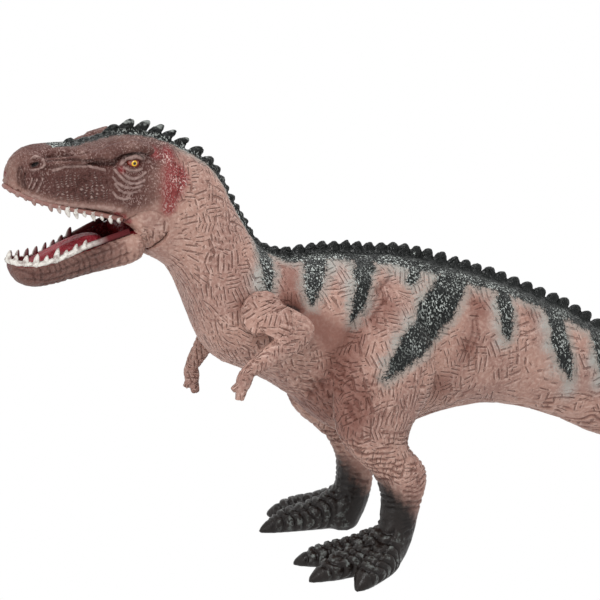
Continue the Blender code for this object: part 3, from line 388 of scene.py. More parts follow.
def vectors_of(items, name):
    out = np.empty(len(items) * 3, np.float32)
    items.foreach_get(name, out)
    return out.reshape(-1, 3).astype(np.float64)


def positions(obj):
    return vectors_of(obj.data.vertices, "co")


def normals(obj):
    return vectors_of(obj.data.vertex_normals, "vector")


def set_positions(obj, points):
    obj.data.vertices.foreach_set("co", points.astype(np.float32).ravel())
    obj.data.update()


def vector_attribute(obj, name, *columns):
    made = obj.data.attributes.new(name, "FLOAT_VECTOR", "POINT")
    values = np.stack([np.broadcast_to(column, len(obj.data.vertices)) for column in columns], axis=1)
    made.data.foreach_set("vector", values.astype(np.float32).ravel())


# Fields over points


def smoothstep(low, high, value):
    share = np.clip((value - low) / (high - low), 0, 1)
    return share * share * (3 - 2 * share)


def table_at(table, place, column=1):
    """Value in a table's column at a place in its first one."""
    return np.interp(place, [row[0] for row in table], [row[column] for row in table])


LATTICE = np.random.default_rng(11).uniform(-1, 1, (4, 32, 32, 32))


def noise(points, size, seed=0):
    """Smooth random values from -1 to 1 whose features have the given size."""
    lattice = LATTICE[seed % 4]
    place = points / size + 7.3 * seed
    base = np.floor(place).astype(int)
    part = place - base
    part = part * part * (3 - 2 * part)
    total = np.zeros(len(points))
    for corner in range(8):
        step = np.array((corner & 1, corner >> 1 & 1, corner >> 2 & 1))
        weight = np.prod(np.where(step, part, 1 - part), axis=1)
        i, j, k = ((base + step) % 32).T
        total += weight * lattice[i, j, k]
    return total


def inside_line(side, line):
    """How far each point is inside a line's half-width, in millimetres, negative outside."""
    best = np.full(len(side), -99.0)
    for start, end in zip(line, line[1:]):
        a = np.array(start[:2])
        along = np.array(end[:2]) - a
        share = np.clip((side - a) @ along / (along @ along), 0, 1)
        reach = np.linalg.norm(side - a - share[:, None] * along, axis=1)
        best = np.maximum(best, start[2] + (end[2] - start[2]) * share - reach)
    return best


def spots(side, table):
    """Sum of soft round spots, at most 1."""
    total = np.zeros(len(side))
    for x, z, radius in table:
        reach = np.hypot(side[:, 0] - x, side[:, 1] - z) / radius
        total += np.exp(-1.6 * reach * reach)
    return np.minimum(total, 1)


def mound(side, x, z, length, height, power=2):
    """1 in the middle of a rounded field, and falling to 0 round it."""
    return np.exp(-((side[:, 0] - x) / length) ** power - ((side[:, 1] - z) / height) ** power)


def carved(side, lines):
    """Heights of carved and raised lines."""
    height = np.zeros(len(side))
    for line, width, depth in lines:
        inside = inside_line(side, [(x, z, width) for x, z in line]) / width
        height += depth * smoothstep(-0.4, 1, inside)
    return height


def local(points):
    """Side-plane millimetres: behind, to the side, above."""
    return (points - MIDDLE) / MM


def outward(normal, place, low, high):
    """Share of facing sideways and away from the middle plane."""
    return smoothstep(low, high, np.abs(normal[:, 1])) * (normal[:, 1] * place[:, 1] > 0)


def wrinkles(place, across, spacing, seed, sharp=0.55):
    """Uneven parallel grooves, from 0 to 1, one every spacing along the direction across."""
    phase = place @ np.array(across) / spacing
    phase = phase + 0.9 * noise(place, 9.0, seed) + 0.35 * noise(place, 3.0, seed + 1)
    wave = np.abs(phase % 1 - 0.5) * 2
    broken = smoothstep(-0.5, 0.2, noise(place, 4.0, seed + 2))
    return smoothstep(sharp, 1, wave) * broken


def grooved(place, *grooves):
    """Depth of several sets of wrinkles: (depth, direction across, spacing, seed, sharpness)."""
    return sum(depth * wrinkles(place, *form) for depth, *form in grooves)


def pebbled(place, size, seed):
    """Rounded pebbles with narrow grooves between them, from -1 in a groove to about 0.5."""
    rough = np.abs(noise(place, size, seed)) + np.abs(noise(place, size, seed + 5))
    return smoothstep(0.0, 0.55, rough) * 1.5 - 1


# Sculpting: each relief gives heights in millimetres, and depths for the paint, from -1 on a ridge over 1 in a deep
# crease to more in a hole. The skin lightens ridges with dry-brush and painted highlight, and darkens creases with a
# wash and painted shade and holes with painted shade.


def toe_band(place, reach, away, length):
    """Scutes and claw along one toe."""
    wave = np.abs(((reach + 0.12 * away * away + 1.6 * noise(place, 5.0, 3)) / 4.2) % 1 - 0.5) * 2
    scute = 0.55 - 1.35 * smoothstep(0.4, 1, wave)
    split = -0.8 * smoothstep(0.8, 0.2, np.abs(away - 3.3)) * smoothstep(length - 9, length - 14, reach)
    claw = -0.7 * smoothstep(0.9, 0.3, np.abs(reach - (length - 7.5)))
    return (scute + split) * smoothstep(length - 4, length - 9, reach) + claw


def toe_bands(place):
    """Scutes across the upper side of every toe."""
    height = np.zeros(len(place))
    nearest = np.full(len(place), 9.0)
    for side, heel, foot_turn in FEET:
        for turn, length in TOES:
            angle = side * math.radians(turn + foot_turn)
            offset = place[:, :2] - heel
            reach = offset @ np.array((-math.cos(angle), math.sin(angle)))
            away = np.abs(offset @ np.array((math.sin(angle), math.cos(angle))))
            ours = (away < nearest) & (reach > 4) & (reach < length + 2)
            nearest = np.where(ours, away, nearest)
            height = np.where(ours, toe_band(place, reach, away, length), height)
    z = place[:, 2]
    return height * smoothstep(GROUND, GROUND + 4, z) * smoothstep(GROUND + 24, GROUND + 16, z)


def body_relief(normal, place):
    """Folds, creases, pits and fine weave of trunk and tail, ribs of the shanks and scutes of the toes."""
    side = place[:, [0, 2]]
    x, _, z = place.T
    outer = outward(normal, place, 0.15, 0.5)
    quiet = spots(side, SMOOTH_SPOTS) * outer
    shank = smoothstep(-50, -62, z) * smoothstep(GROUND + 12, GROUND + 18, z)
    belly = smoothstep(-0.1, -0.7, normal[:, 2]) * smoothstep(-52, -44, z) * smoothstep(90, 60, x)
    woven = 0.28 * (1 - shank) * (1 - quiet) * smoothstep(GROUND + 12, GROUND + 20, z)
    lines = carved(side, BODY_LINES) * outer + toe_bands(place) - grooved(
        place,
        (0.8 * mound(side, *GROIN), (0.75, 0.1, 0.62), 3.0, 1, 0.4),
        (0.8 * shank, (0.12, 0.0, 1.0), 2.6, 2, 0.3),
        (0.3 * belly, (0.9, 0.0, 0.3), 4.2, 3),
        (woven, (0.25, 0.2, 1.0), 4.4, 5, 0.72),
        (woven, (1.0, 0.2, -0.2), 4.8, 7, 0.72),
    )
    folds = carved(side, BODY_FOLDS) * outer
    pit = spots(side, PIT) * outer
    lumps = (0.35 * noise(place, 14.0, 4) + 0.2 * noise(place, 6.0, 6)) * (1 - quiet)
    # the pit's depth goes above 1, where the skin paints shade
    depth = np.clip(-lines * 1.6 - 0.3 * folds, -1, 1) + 1.3 * pit
    return (lines + folds - 1.8 * pit + lumps) * smoothstep(GROUND, GROUND + 1.5, z), depth


def head_relief(normal, place):
    """Brows, lids, nostril, lip and pebbled skin of the head, with the body's relief behind it."""
    side = place[:, [0, 2]]
    x, y, z = place.T
    outer = outward(normal, place, 0.1, 0.4) * (np.abs(y) > 5)
    on_head = smoothstep(-60, -70, x)
    maxilla, muzzle = mound(side, *MAXILLA), mound(side, *MUZZLE)
    hole = mound(np.stack([x - 0.3 * (z - NOSTRIL[1]), z], axis=1), *NOSTRIL)
    lines = 1.9 * carved(side, HEAD_LINES + [(LIP, 1.3, 0.45)]) * outer - outer * grooved(
        place,
        (0.5 * maxilla, (0.96, 0.0, 0.22), 2.5, 5, 0.3),
        (0.32 * maxilla, (-0.22, 0.0, 0.96), 2.2, 7, 0.4),
        (0.45 * muzzle, (0.9, 0.2, 0.3), 1.9, 6, 0.3),
    )
    plain = on_head * (1 - maxilla) * (1 - mound(side, *EYE_SOCKET)) * (1 - 0.7 * muzzle)
    lines += 0.26 * pebbled(place, 2.1, 8) * plain
    swell = sum(rise * mound(side, *form) for rise, form in HEAD_SWELLS)
    forms = (1.9 * carved(side, HEAD_RIDGES) + swell - 3.0 * hole) * outer
    body, depth = body_relief(normal, place)
    # the nostril's depth goes above 1, where the skin paints shade
    hollow = np.clip(-lines * 1.2, -1, 1) + 2.8 * hole * outer
    return (lines + forms) * on_head + body * (1 - on_head), hollow * on_head + depth * (1 - on_head)


def jaw_relief(normal, place):
    """Plates and wrinkles of the lower jaw, which stop at its joint."""
    side = place[:, [0, 2]]
    x, y, z = place.T
    pivot = local(np.array(JAW_PIVOT))
    outer = outward(normal, place, 0.1, 0.4)
    lines = carved(side, JAW_LINES) * outer - grooved(
        place,
        (0.55 * outer * smoothstep(-136, -128, x), (0.95, 0.0, 0.3), 2.9, 9, 0.5),
        (0.35 * (np.abs(y) > 9), (-0.22, 0.6, 0.9), 2.8, 3, 0.5),
    )
    lines = lines * smoothstep(JOINT_RADIUS + 0.1, JOINT_RADIUS + 2.5, np.hypot(x - pivot[0], z - pivot[2]))
    return lines + 0.15 * noise(place, 1.4, 3), np.clip(-lines * 1.6, -1, 1)


def arm_relief(normal, place):
    """Wrinkles of an arm, from where it leaves its seat."""
    grooves = grooved(place, (0.35, (0.5, 0.2, 0.85), 3.0, 2, 0.6), (0.3, (0.9, 0.2, -0.3), 3.4, 4, 0.66))
    shown = smoothstep(SEAT / MM + 0.6, SEAT / MM + 1.6, np.abs(place[:, 1]))
    return -grooves * shown, np.clip(grooves * 0.7, 0, 1) * shown


def sculpted(obj, relief):
    """Moves the vertices by the relief and keeps the depth for the paint."""
    points = positions(obj)
    normal = normals(obj)
    height, depth = relief(normal, local(points))
    set_positions(obj, points + normal * (height * MM)[:, None])
    vector_attribute(obj, "skin_facing", *normal.T)
    attribute = obj.data.attributes.new("carved", "FLOAT", "POINT")
    attribute.data.foreach_set("value", depth.astype(np.float32))
    return obj


# Round joints. A cap takes distances of its own points from the middle plane (out), the level of the skin round
# them and its rise further away (beyond), and their place along the open side and from the centre (along, reach).
# It gives new distances and shares of widening.


def skin_level(tree, centre, radius, side, inner):
    """Distances of a skin from the middle plane at even angles round a point, in millimetres."""
    found = []
    for angle in turns(LEVELS):
        start = centre + radius * MM * Vector((math.cos(angle), 0.0, math.sin(angle)))
        start.y = MIDDLE[1] + side * 0.08
        hit = tree.ray_cast(start, Vector((0.0, -side, 0.0)))[0]
        level = side * (hit.y - MIDDLE[1]) / MM if hit else 0.0
        found.append(level if level > inner else np.nan)
    found = np.array(found)
    return np.where(np.isnan(found), np.nanmean(found), found)


def arm_cap(out, level, beyond, along, reach):
    """Shoulder that stands no further out than the chest, apart from the side where the arm goes on."""
    wanted = np.minimum(out, level + 0.3 + 9.0 * smoothstep(-8, 9, along))
    return wanted, smoothstep(JOINT_RADIUS - 1.5, JOINT_RADIUS - 0.5, reach) * (out < level + 0.5)


def jaw_cap(out, level, beyond, along, reach):
    """Lobe pressed to the level of the cheek and a little below it at its rim, apart from where the jaw goes on."""
    inner = JAW_JOINT[2]
    free = 1 - smoothstep(0.1, -0.35, along / reach)
    top = out[(out > inner) & (reach < JOINT_RADIUS + 0.5)].max()
    level = level + np.clip(beyond, -1.2, 1.2) * 0.5 * smoothstep(JOINT_RADIUS - 1.2, JOINT_RADIUS + 0.3, reach)
    wanted = inner + (out - inner) * (level + 0.12 - inner) / (top - inner)
    wanted = out + (wanted - out - 0.37 * smoothstep(JOINT_RADIUS - 0.8, JOINT_RADIUS, reach)) * free
    return wanted, 3.2 * smoothstep(JOINT_RADIUS - 3, JOINT_RADIUS, reach) * free * (out > top - 1.4)


def flush(obj, cap, node, centre, inner, open_side):
    """Widens a round joint to close its seam and brings its face level with the skin round it."""
    tree = tree_of(node)
    points = positions(obj)
    place = (points - np.array((centre.x, MIDDLE[1], centre.z))) / MM
    reach = np.maximum(np.hypot(place[:, 0], place[:, 2]), 1e-6)
    turn = np.arctan2(place[:, 2], place[:, 0]) / (2 * math.pi) * LEVELS % LEVELS
    along = place[:, [0, 2]] @ np.array(open_side)
    for side in (-1, 1):
        out = place[:, 1] * side
        mine = (out > inner) & (reach < JOINT_RADIUS + 0.5)
        if not mine.any():
            continue
        rings = [skin_level(tree, centre, JOINT_RADIUS + gap, side, inner) for gap in (1.3, 2.6)]
        near, far = (np.interp(turn, np.arange(LEVELS + 1), np.append(ring, ring[0])) for ring in rings)
        middle = rings[0].mean()
        level = middle + (near - middle) * np.minimum(reach / JOINT_RADIUS, 1)
        wanted, closing = cap(out, level, far - near, along, reach)
        points[mine, 1] = MIDDLE[1] + side * wanted[mine] * MM
        step = place / reach[:, None] * (0.6 * MM * closing)[:, None]
        points[mine, 0] += step[mine, 0]
        points[mine, 2] += step[mine, 2]
    set_positions(obj, points)


# Paint


def stripes_at(side, facing):
    """How far inside a stripe each point is, in millimetres."""
    best = np.full(len(side), NO_PAINT)
    for line in STRIPES:
        best = np.maximum(best, inside_line(side, line))
    return np.where(facing > 0, best, NO_PAINT)


def crest_at(place, normal, above):
    """How far inside the dark band of the crest each point is, in millimetres."""
    x, y, _ = place.T
    upward = normal @ np.array((0.5, 0.0, 0.86))
    crest = np.where(upward > 0.1, table_at(CREST_REACH, x) - np.abs(y), NO_PAINT)
    return np.where((np.abs(y) < 5) & (x > -119), np.maximum(crest, 3 * above), crest)


def dark_at(place, normal):
    """Black of the feet and shanks."""
    x, y, z = place.T
    fade = z + 13 * normal[:, 0] + np.where(y > 0, 9, 0)
    return np.maximum(smoothstep(-76, -104, fade), smoothstep(-101, -110, z)) * (x < 70)


def face_at(side):
    """Brown of the face."""
    x, z = side.T
    low = 48 + 0.34 * np.maximum(x + 100, 0)
    high = smoothstep(68, 80, z)
    face = smoothstep(-50 - 6 * (1 - high), -88 + 22 * high, x) * smoothstep(low - 4, low + 5, z)
    lip = np.exp(-(inside_line(side, [(px, pz, 0.0) for px, pz in LIP]) / 2.2) ** 2)
    return face * (1 - 0.35 * smoothstep(-131, -138, x)) * (1 - 0.4 * lip) * (1 - 0.16 * spots(side, BROW))


def mouth_inside(place, normal):
    """1 on the red lining of both jaws."""
    x, y, z = place.T
    pivot = local(np.array(JAW_PIVOT))
    ahead = pivot[0] - x
    within = np.abs(y) < 0.9 * table_at(MOUTH_WIDTH, ahead)
    roof = within & (z < 72) & (normal[:, 2] < 0.3) & (z > 44)
    bottom = within & (normal[:, 2] > -0.3) & (z <= 50)
    inward = normal[:, 1] * y < 0.0
    lining = (roof | bottom) & (inward | (np.abs(normal[:, 2]) > 0.75)) & (ahead > -1)
    lug = (np.abs(y) < 9.6) & (ahead > -9.5) & (ahead < 15) & (np.abs(z - pivot[2]) < 10)
    return (lining | lug).astype(float)


def hatched_at(side, facing, kind):
    """1 where the skin has pressed-in dashes, and below 0 where it has beads."""
    x, z = side.T
    hatch = (1 - spots(side, SMOOTH_SPOTS) * facing) * smoothstep(-90, -76, z)
    if kind == "head":
        return hatch * (1 - smoothstep(-62, -74, x)) - mound(side, *BEADED) * facing
    return hatch * (1 - smoothstep(-80, -88, x)) if kind == "jaw" else hatch


def painted(obj, kind):
    """Stores what is sprayed where: stripes, crest and pale; reddish-brown spray that also paints shade in the
    groin, on the belly and behind the arm, dark feet and face; red, carving (which the skin turns into a wash with
    painted shade and dry-brush with painted highlight) and hatching.
    """
    place = local(positions(obj))
    normal = normals(obj)
    side = place[:, [0, 2]]
    x, y, _ = place.T
    carving = np.empty(len(place), np.float32)
    obj.data.attributes["carved"].data.foreach_get("value", carving)
    obj.data.attributes.remove(obj.data.attributes["carved"])
    facing = np.where(y * normal[:, 1] > -0.2 * np.abs(y), 1.0, 0.0)
    stripe, crest, pale, brown_and_shade, dark, face, red = NO_PAINT, NO_PAINT, -1.0, 0.0, 0.0, 0.0, 0.0
    if kind in ("head", "body"):
        on_back, above, _, _ = along_back(side)
        above = above + table_at(BACK_DROP, on_back)
        stripe = stripes_at(side, facing)
        crest = crest_at(place, normal, above)
        # the second spots are reddish-brown spray and painted shade in the groin, on the belly and behind the arm
        pale, brown_and_shade = spots(side, PALE) * facing, spots(side, BROWN_AND_SHADE_SPOTS) * facing
        # the spike tops count as raised, for the dry-brush and painted highlight on their tips
        carving = carving - smoothstep(3.2, 5.0, above) * (np.abs(y) < 4) * smoothstep(-30, -52, x) * (x > -118)
    if kind in ("head", "jaw"):
        face = face_at(side) if kind == "head" else 0.8 * smoothstep(-84, -104, x)
        red = np.maximum(spots(side, RED_PATCH) * facing, 2 * mouth_inside(place, normal))
    if kind == "body":
        dark = dark_at(place, normal)
    vector_attribute(obj, "paint_stripe", np.clip(stripe, NO_PAINT, 9), np.clip(crest, NO_PAINT, 9), pale)
    vector_attribute(obj, "paint_tone", brown_and_shade, dark, face)
    vector_attribute(obj, "paint_mark", red, carving, hatched_at(side, facing, kind))


# Skins


def along_back(side):
    """Nearest place on the line of the back, height above it and its direction there, for side-plane points."""
    line = np.array(BACK)
    steps = line[1:] - line[:-1]
    lengths = np.linalg.norm(steps, axis=1)
    ends = np.concatenate(([0.0], np.cumsum(lengths)))
    nearest = np.full(len(side), 1e9)
    place = np.zeros(len(side))
    height = np.zeros(len(side))
    for corner, step, length, start in zip(line, steps, lengths, ends):
        unit = step / length
        offset = side - corner
        share = np.clip(offset @ unit, 0, length)
        away = np.linalg.norm(offset - share[:, None] * unit, axis=1)
        closer = away < nearest
        nearest = np.where(closer, away, nearest)
        place = np.where(closer, start + share, place)
        height = np.where(closer, offset @ np.array((-unit[1], unit[0])), height)
    turn = np.interp(place, (ends[1:] + ends[:-1]) / 2, np.arctan2(steps[:, 1], steps[:, 0]))
    return np.interp(place, ends, line[:, 0]), height, np.cos(turn), np.sin(turn)


def without_spikes(bm):
    """Flattens the CAD's spikes onto the back."""
    verts = list(bm.verts)
    place = local(np.array([vert.co[:] for vert in verts]))
    _, height, across, up = along_back(place[:, [0, 2]])
    tall = (np.abs(place[:, 1]) < 3) & (height > 0.4) & (place[:, 0] > -118)
    for i in np.nonzero(tall)[0]:
        verts[i].co += Vector((up[i], 0.0, -across[i])) * (height[i] - 0.2) * MM
    return bm


def lowered(obj):
    """Brings the back down to its line in the photograph."""
    points = positions(obj)
    x, height, across, up = along_back(local(points)[:, [0, 2]])
    amount = table_at(BACK_DROP, x) * smoothstep(-25, -1, height)
    move = np.stack([up, np.zeros(len(up)), -across], axis=1)
    set_positions(obj, points + move * (amount * MM)[:, None])
    return obj


def spike_tips():
    """Tips of the spikes: those of the photograph, then ever smaller ones to the end of the tail."""
    tips = list(SPIKES)
    while tips[-1][0] < LAST_SPIKE:
        x = tips[-1][0] + table_at(TAIL_SPIKES, tips[-1][0])
        rise = table_at(TAIL_SPIKES, x, 2) - table_at(BACK_DROP, x)
        tips.append((x, table_at(BACK, x) + rise))
    return np.array(tips)


def spike(bm, tip, height, along, sweep, width, length):
    """Closed back-swept cone with a rounded tip."""
    upward = np.array((-along[1], along[0]))
    base = tip - (upward + along * sweep) * height
    rows = []
    for share in SPIKE_RINGS:
        size = math.sqrt(max(1 - max(share, 0) ** 2.6, 0.05)) / 2
        centre = base + (upward * share + along * sweep * max(share, 0) ** 1.25) * height
        row = []
        for angle in turns(10):
            x, z = centre + along * math.cos(angle) * length * size
            row.append(MIDDLE + MM * np.array((x, math.sin(angle) * width * size, z)))
        rows.append(row)
    lofted(bm, rows)


def add_spikes(bm, last):
    """Full, round-tipped spikes as far back as last, standing on the line that lowered() brings down."""
    tips = spike_tips()
    x, heights, across, up = along_back(tips)
    gaps = np.linalg.norm(tips[1:] - tips[:-1], axis=1)
    for i, tip in enumerate(tips):
        if tip[0] > last:
            continue
        pitch = min(gaps[max(i - 1, 0)], gaps[min(i, len(gaps) - 1)])
        along = np.array((across[i], up[i]))
        drop = table_at(BACK_DROP, x[i])
        tip = tip + drop * np.array((-up[i], across[i]))
        # Spikes of the head and neck lean further back and are a little thinner.
        head = smoothstep(-40, -52, tips[i][0])
        spike(bm, tip, heights[i] + drop, along, 0.22 + 0.36 * head, 4.6 - head, (0.98 - 0.08 * head) * pitch)


def seam_plane(low, high):
    """Point and normal, facing the head, of the cut through two side-plane points."""
    a, b = (Vector(MIDDLE + MM * np.array((x, 0.0, z))) for x, z in (low, high))
    return (a + b) / 2, Vector((-(b - a).z, 0.0, (b - a).x)).normalized()


def plugs(bm):
    """Fills the holes of the arm pegs under the skin."""
    radius, depth = 9 * MM, 10 * MM
    for side in (-1, 1):
        centre = SHOULDER + Vector((0.0, side * (SEAT - depth / 2), 0.0))
        place = Matrix.Translation(centre) @ Matrix.Rotation(math.radians(90), 4, "X")
        bmesh.ops.create_cone(
            bm, cap_ends=True, segments=24, radius1=radius, radius2=radius, depth=depth, matrix=place
        )


def parted(whole):
    """Splits the body's skin into trunk and legs at the line where their CAD surfaces meet."""
    trees = {node: tree_of(node) for node in ("trunk", "leg_left", "leg_right")}
    owner = []
    for face in whole.data.polygons:
        centre = face.center
        best = "trunk"
        if centre.z < LEG_TOP and LEG_REACH[0] < centre.x < LEG_REACH[1]:
            node = "leg_left" if centre.y < MIDDLE[1] else "leg_right"
            if trees[node].find_nearest(centre)[3] < trees["trunk"].find_nearest(centre)[3]:
                best = node
        owner.append(best)
    skins = {}
    for node in trees:
        bm = bmesh.new()
        bm.from_mesh(whole.data)
        bm.faces.ensure_lookup_table()
        gone = [bm.faces[i] for i, name in enumerate(owner) if name != node]
        bmesh.ops.delete(bm, geom=gone, context="FACES")
        rim = [edge for edge in bm.edges if edge.is_boundary]
        bmesh.ops.holes_fill(bm, edges=rim, sides=0)
        bmesh.ops.triangulate(bm, faces=[face for face in bm.faces if len(face.verts) > 4])
        skins[node] = largest_part(new_object(node + "_skin", bm))
    return skins


def box_centre(name):
    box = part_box(name)
    return (Vector(box[0]) + Vector(box[1])) / 2


def add_lids(bm):
    """Upper and lower lid over each eyeball, so that the eye opens as an almond."""
    count = 13
    for name, side in EYES:
        centre = box_centre(name)
        for rise, thick in EYELIDS:
            points, radii = [], []
            for step in range(count):
                u = 2 * step / (count - 1) - 1
                across = LID_REACH * u
                up = rise * (1 - u * u) ** 0.8 - 0.5 * u
                out = math.sqrt(max(LID_RADIUS ** 2 - 0.55 * across * across - up * up, 0.6))
                points.append(centre + MM * Vector((across, side * out, up)))
                radii.append(thick * MM * (0.55 + 0.45 * math.sin(math.pi * step / (count - 1))))
            tube(bm, points, radii)


def make_skins():
    """All skins of the fixed body, cut at the seams of the CAD's pieces."""
    neck = seam_plane(*NECK_SEAM)
    rear = seam_plane(*REAR_SEAM)
    bm = without_spikes(welded("trunk", "head", "tail", "leg_left", "leg_right", "stuffing"))
    plugs(bm)
    add_spikes(bm, last=BACK[-1][0])
    whole = lowered(remeshed("body", bm, COARSE, 4))
    bm = without_spikes(welded("trunk", "head"))
    add_spikes(bm, last=-20)
    add_lids(bm)
    head = cut_by_plane(lowered(remeshed("head_skin", bm, FINE, 3)), *neck)
    sculpted(head, head_relief)
    sculpted(whole, body_relief)
    painted(head, "head")
    painted(whole, "body")
    tail = cut_by_plane(copied(whole, "tail_skin"), rear[0], -rear[1])
    middle = cut_by_plane(cut_by_plane(whole, neck[0], -neck[1]), *rear)
    skins = {**parted(middle), "tail": tail, "head": head}
    bpy.data.objects.remove(middle)
    return skins


def jaw_skin():
    obj = remeshed("lower_jaw_skin", welded("lower_jaw"), FINE, 2)
    flush(obj, jaw_cap, *JAW_JOINT)
    painted(sculpted(obj, jaw_relief), "jaw")
    return obj


def arm_skin(node):
    obj = remeshed(node + "_skin", welded(node), FINE, 3)
    flush(obj, arm_cap, *ARM_JOINT)
    painted(sculpted(obj, arm_relief), "arm")
    return obj


# Mouth and eyes


def rim_of(table, inset, rise):
    """Line round a jaw, rear left to rear right."""
    left = [JAW_PIVOT + MM * Vector((-ahead, -(half - inset), up + rise)) for ahead, up, half in table]
    right = [Vector((p.x, 2 * MIDDLE[1] - p.y, p.z)) for p in reversed(left)]
    return left + right


def spaced(line, count):
    """Even places along a line, with their shares of its length."""
    lengths = [(b - a).length for a, b in zip(line, line[1:])]
    total = sum(lengths)
    found = []
    for i in range(count):
        wanted = total * (i + 0.5) / count
        for (a, b), length in zip(zip(line, line[1:]), lengths):
            if wanted <= length:
                found.append((a.lerp(b, wanted / length), (i + 0.5) / count))
                break
            wanted -= length
    return found


def tooth_paint(obj, strip_size):
    """Stores which faces look out of the mouth, how far ahead they are and which are gum."""
    place = local(positions(obj))
    outwards = place * np.array((0.0, 1.0, 0.0)) + np.array((-6.0, 0.0, 0.0)) * smoothstep(-128, -136, place[:, :1])
    outwards /= np.linalg.norm(outwards, axis=1)[:, None]
    outer = smoothstep(-0.5, 0.1, np.sum(outwards * normals(obj), axis=1))
    in_strip = (np.arange(len(place)) < strip_size).astype(float)
    vector_attribute(obj, "paint_tooth", outer, smoothstep(-105.0, -108.0, place[:, 0]), in_strip)


def teeth(name, line, count, sizes, upward, radius, strip, rear):
    """Gum strip with a row of uneven, slightly hooked teeth; sizes are heights from rear to front."""
    bm = bmesh.new()
    tube(bm, line, [strip * MM] * len(line))
    strip_size = len(bm.verts)
    rng = np.random.default_rng(count)
    lean = Vector((0.12, 0.0, upward)).normalized()
    for point, share in spaced(line, count):
        if (point.x - MIDDLE[0]) / MM > rear:
            continue
        front = 1 - abs(2 * share - 1)
        size = np.interp(front, np.linspace(0, 1, len(sizes)), sizes) * rng.uniform(0.66, 1.22) * MM
        base = radius * rng.uniform(0.85, 1.1) * MM * min(1.0, 0.5 + size / (5 * MM))
        path = [point + lean * size * k + Vector((0.12 * size * k * k, 0, 0)) for k, _ in TOOTH_RINGS]
        tube(bm, path, [base * share for _, share in TOOTH_RINGS])
    bmesh.ops.recalc_face_normals(bm, faces=bm.faces)
    made = new_object(name, bm)
    tooth_paint(made, strip_size)
    return made


def softened(name, rows, levels):
    """Smoothed closed form through rows of points."""
    bm = bmesh.new()
    lofted(bm, rows)
    bmesh.ops.recalc_face_normals(bm, faces=bm.faces)
    obj = new_object(name, bm)
    soften = obj.modifiers.new("soften", "SUBSURF")
    soften.levels = levels
    soften.render_levels = levels
    return applied(obj)


def tongue():
    """Thick tongue with a groove along its middle, raised between the lower tooth rows."""
    rows = []
    for ahead, low, high, half in TONGUE:
        row = []
        for angle in turns(20):
            across = math.cos(angle) * half
            groove = 0.9 * math.exp(-(across / 2.0) ** 2) if math.sin(angle) > 0 else 0.0
            up = (low + high) / 2 + math.sin(angle) * (high - low) / 2 - groove
            row.append(JAW_PIVOT + MM * Vector((-ahead, across, up)))
        rows.append(row)
    return softened("tongue_shape", rows, 2)


def palate():
    """Vaulted roof of the mouth with cross ridges."""
    count = 16
    arch = [math.pi * step / (count - 1) for step in range(count)]
    rows = []
    for i in range(PALATE_ROWS):
        ahead = PALATE_START + i * PALATE_PITCH
        half = table_at(UPPER_RIM, ahead, 2) - 3.4
        rim = table_at(UPPER_RIM, ahead)
        rise = 3.3 if i % 2 else 4.0
        vault = [(math.cos(angle) * half, rim + math.sin(angle) * 5.6) for angle in arch]
        vault += [(math.cos(angle) * (half - 1.0), rim - 0.2 + math.sin(angle) * rise) for angle in reversed(arch)]
        rows.append([JAW_PIVOT + MM * Vector((-ahead, across, up)) for across, up in vault])
    return softened("palate_shape", rows, 1)


def eyeball(name, side):
    """Eyeball with a slightly raised iris."""
    centre = box_centre(name)
    radius = EYE_RADIUS * MM
    bm = bmesh.new()
    bmesh.ops.create_uvsphere(bm, u_segments=48, v_segments=24, radius=radius)
    for vert in bm.verts:
        vert.co.z += 0.25 * MM * max(vert.co.z / radius - 0.86, 0) / 0.14
    gaze = Matrix.Rotation(math.radians(4) * side, 4, "Z") @ Matrix.Rotation(-side * math.radians(90), 4, "X")
    bmesh.ops.transform(bm, matrix=Matrix.Translation(centre) @ gaze, verts=bm.verts)
    made = new_object(name + "_ball", bm)
    axis = np.array(gaze @ Vector((0, 0, 1)))
    offset = (positions(made) - np.array(centre)) / MM
    out = offset @ axis
    across = np.linalg.norm(offset - out[:, None] * axis, axis=1)
    vector_attribute(made, "paint_eye", across, np.where(out > 0, 1.0, 0.0), 0.0)
    return made


# Materials


class Signal:
    """Output of a shader node that takes part in sums and products."""

    def __init__(self, group, socket):
        self.group = group
        self.socket = socket

    def __add__(self, other):
        return self.group.math("ADD", self, other)

    def __sub__(self, other):
        return self.group.math("SUBTRACT", self, other)

    def __rsub__(self, other):
        return self.group.math("SUBTRACT", other, self)

    def __mul__(self, other):
        return self.group.math("MULTIPLY", self, other)

    def __truediv__(self, other):
        return self.group.math("DIVIDE", self, other)

    def __rtruediv__(self, other):
        return self.group.math("DIVIDE", other, self)

    __radd__ = __add__
    __rmul__ = __mul__

    def most(self, other):
        return self.group.math("MAXIMUM", self, other)

    def between(self, low, high):
        """0 below low, 1 above high and smooth between; low may be above high."""
        inputs = {"Value": self, "From Min": low, "From Max": high}
        return self.group.read("MapRange", inputs, "Result", interpolation_type="SMOOTHSTEP")


